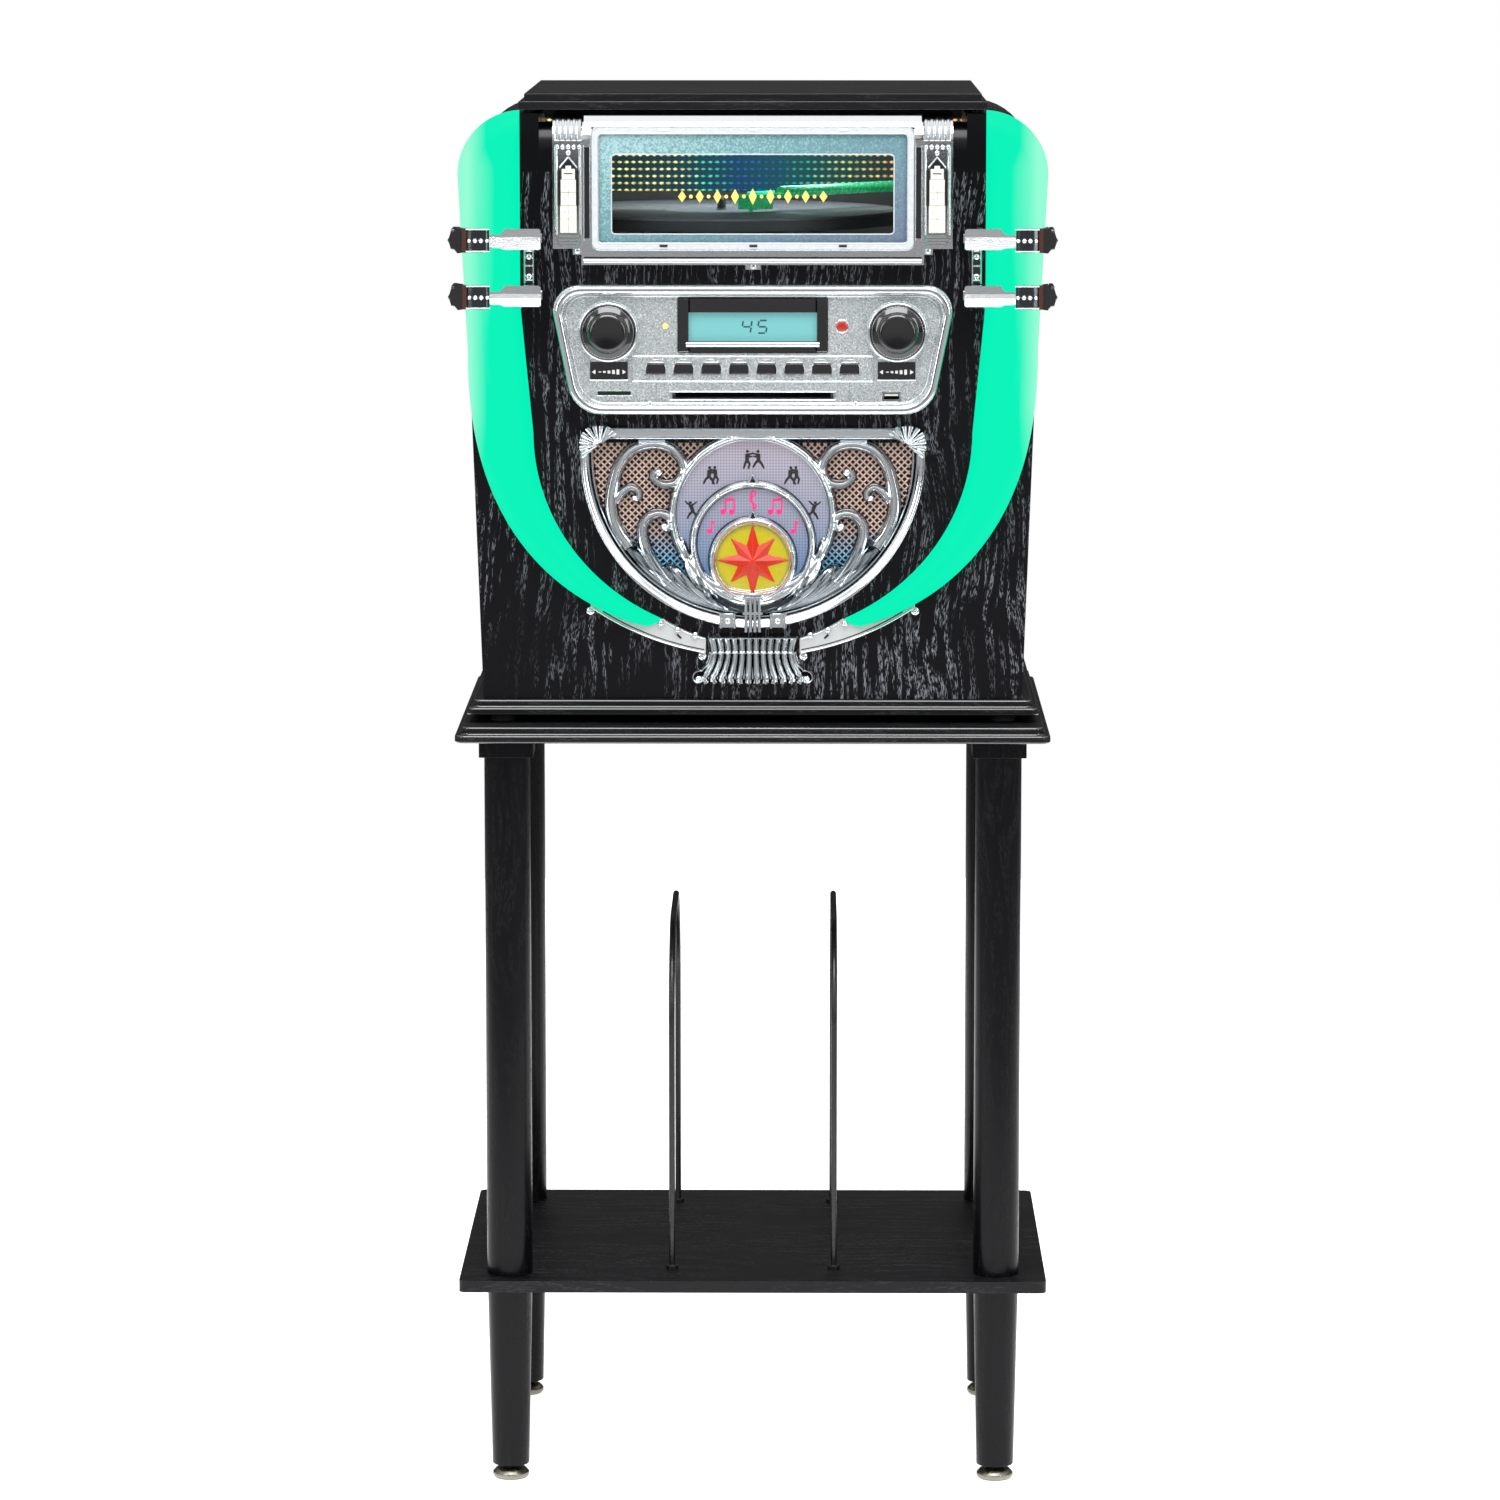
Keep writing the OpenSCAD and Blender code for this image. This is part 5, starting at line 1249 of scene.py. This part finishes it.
# ---------------------------------------------------------------- record player
def make_player():
    low, high = span("platter_mat")
    hub = ((low.x + high.x) / 2, (low.y + high.y) / 2)
    radius = (high.x - low.x) / 2
    profile = [(radius, low.z + 0.1), (radius, high.z - 0.5), (radius - 0.6, high.z)]
    at = radius - 3
    while at > 52:
        profile += [(at, high.z), (at - 0.5, high.z - 0.5), (at - 1.4, high.z - 0.5), (at - 1.9, high.z)]
        at -= 3.1
    profile += [(50, high.z), (49.2, high.z - 0.7), (12, high.z - 0.7), (4.2, high.z - 0.7),
                (4.2, low.z + 0.1)]
    piece("mat_grooved", [lathe_up(profile, hub, 128)], GROOVED, "platter", ("platter_mat",))
    refine("platter", PLASTIC, 0.6, 3)
    for node, look, width in (("turntable_deck", PLASTIC, 0.8), ("drive_belt", RUBBER, 0.2),
                              ("motor", STEEL, 0.8),
                              ("motor_pulley", BRASS, 0.3), ("tonearm_turret", PLASTIC, 0.5),
                              ("tonearm", ARM_GREEN, 0.4), ("cue_lever", CHROME, 0.6),
                              ("speed_selector", GLOSS, 0.5)):
        refine(node, look, width)
    piece("well_lining", [box((-158, 158), (176.2, 177.2), (1026, 1034.6), 0.2)], LINING)
    softbox("well_lamp", (0, 0.02, 1.104), (0, 0.06, 1.03), (0.2, 0.03), 0.6, (0.9, 1, 0.95))
    pivot = Vector((150.0, 105.0))
    way = Vector((math.cos(math.radians(225)), math.sin(math.radians(225))))
    side = Vector((-way.y, way.x))
    loops = []
    for along, half in ((190, 2.0), (192, 3.6), (214, 3.6), (218, 1.5)):
        mid = pivot + way * along
        loops.append([(*(mid + side * half * a), 1044.2 + b)
                      for a, b in ((-1, 0), (1, 0), (0.8, 1), (-0.8, 1))])
    piece("headshell_lamp", [loft(loops)], GREEN_GLOW, "arm")


# ---------------------------------------------------------------- everything else
def make_back():
    for node, look, width in (("rear_panel", HARDBOARD, 0.5), ("jack_panel", PLASTIC, 0.4),
                              ("circuit_boards", BOARD, 0.2), ("cd_mechanism", STEEL, 0.5),
                              ("speakers", PLASTIC, 0.5),
                              ("hinge_fixed_leaves", BRASS, 0.2), ("hinge_lid_leaves", BRASS, 0.2),
                              ("fasteners", STEEL, 0.3), ("led_strips", WHITE_PRINT, 0.1)):
        refine(node, look, width)
    back = span("jack_panel")[1].y
    collars = []
    for x, z in ((8, 718), (8, 736), (22, 718), (22, 736)):
        verts, faces = ring((x, z), 5.6, 0.8, back - 5.2, 0.8, 32)
        collars.append(([(px, 2 * (back - 3) - py, pz) for px, py, pz in verts], faces))
    piece("jack_collars", collars, CHROME)


def make_wood():
    for node, look, width, segments in (("stand_top", TOP_ASH, 1.5, 4), ("shelf", SHELF_ASH, 2.0, 4),
                                        ("base_plate", TOP_ASH, 1.5, 4), ("lid", TOP_ASH, 2.9, 5)):
        refine(node, look, width, segments, LACQUER)
    for part in (("leg_blocks", LEG_ASH, 0.8), ("upper_legs", LEG_ASH, 0.5), ("lower_legs", LEG_ASH, 0.8),
                 ("front_panel", FRONT_ASH, 1.0, 3), ("side_panel_left", SIDE_ASH, 0.8),
                 ("side_panel_right", SIDE_ASH, 0.8), ("foot_glides", NICKEL, 0.7, 3),
                 ("rubber_feet", RUBBER, 0.8), ("record_divider_left", WIRE, 0.3),
                 ("record_divider_right", WIRE, 0.3)):
        refine(*part)


def make_floor():
    """A round pale floor; beyond it the backdrop is the same white."""
    mesh = bpy.data.meshes.new("floor")
    mesh.from_pydata([(x, y, 0) for x, y in circle((0, 0.6), 2.3, 96)], [], [tuple(range(96))])
    mesh.materials.append(FLOOR)
    floor = bpy.data.objects.new("floor", mesh)
    bpy.context.collection.objects.link(floor)


make_camera()
make_studio()
make_floor()
make_wood()
make_arches()
make_clamps()
make_window()
make_controls()
make_grille()
make_foot_ornament()
make_player()
make_back()
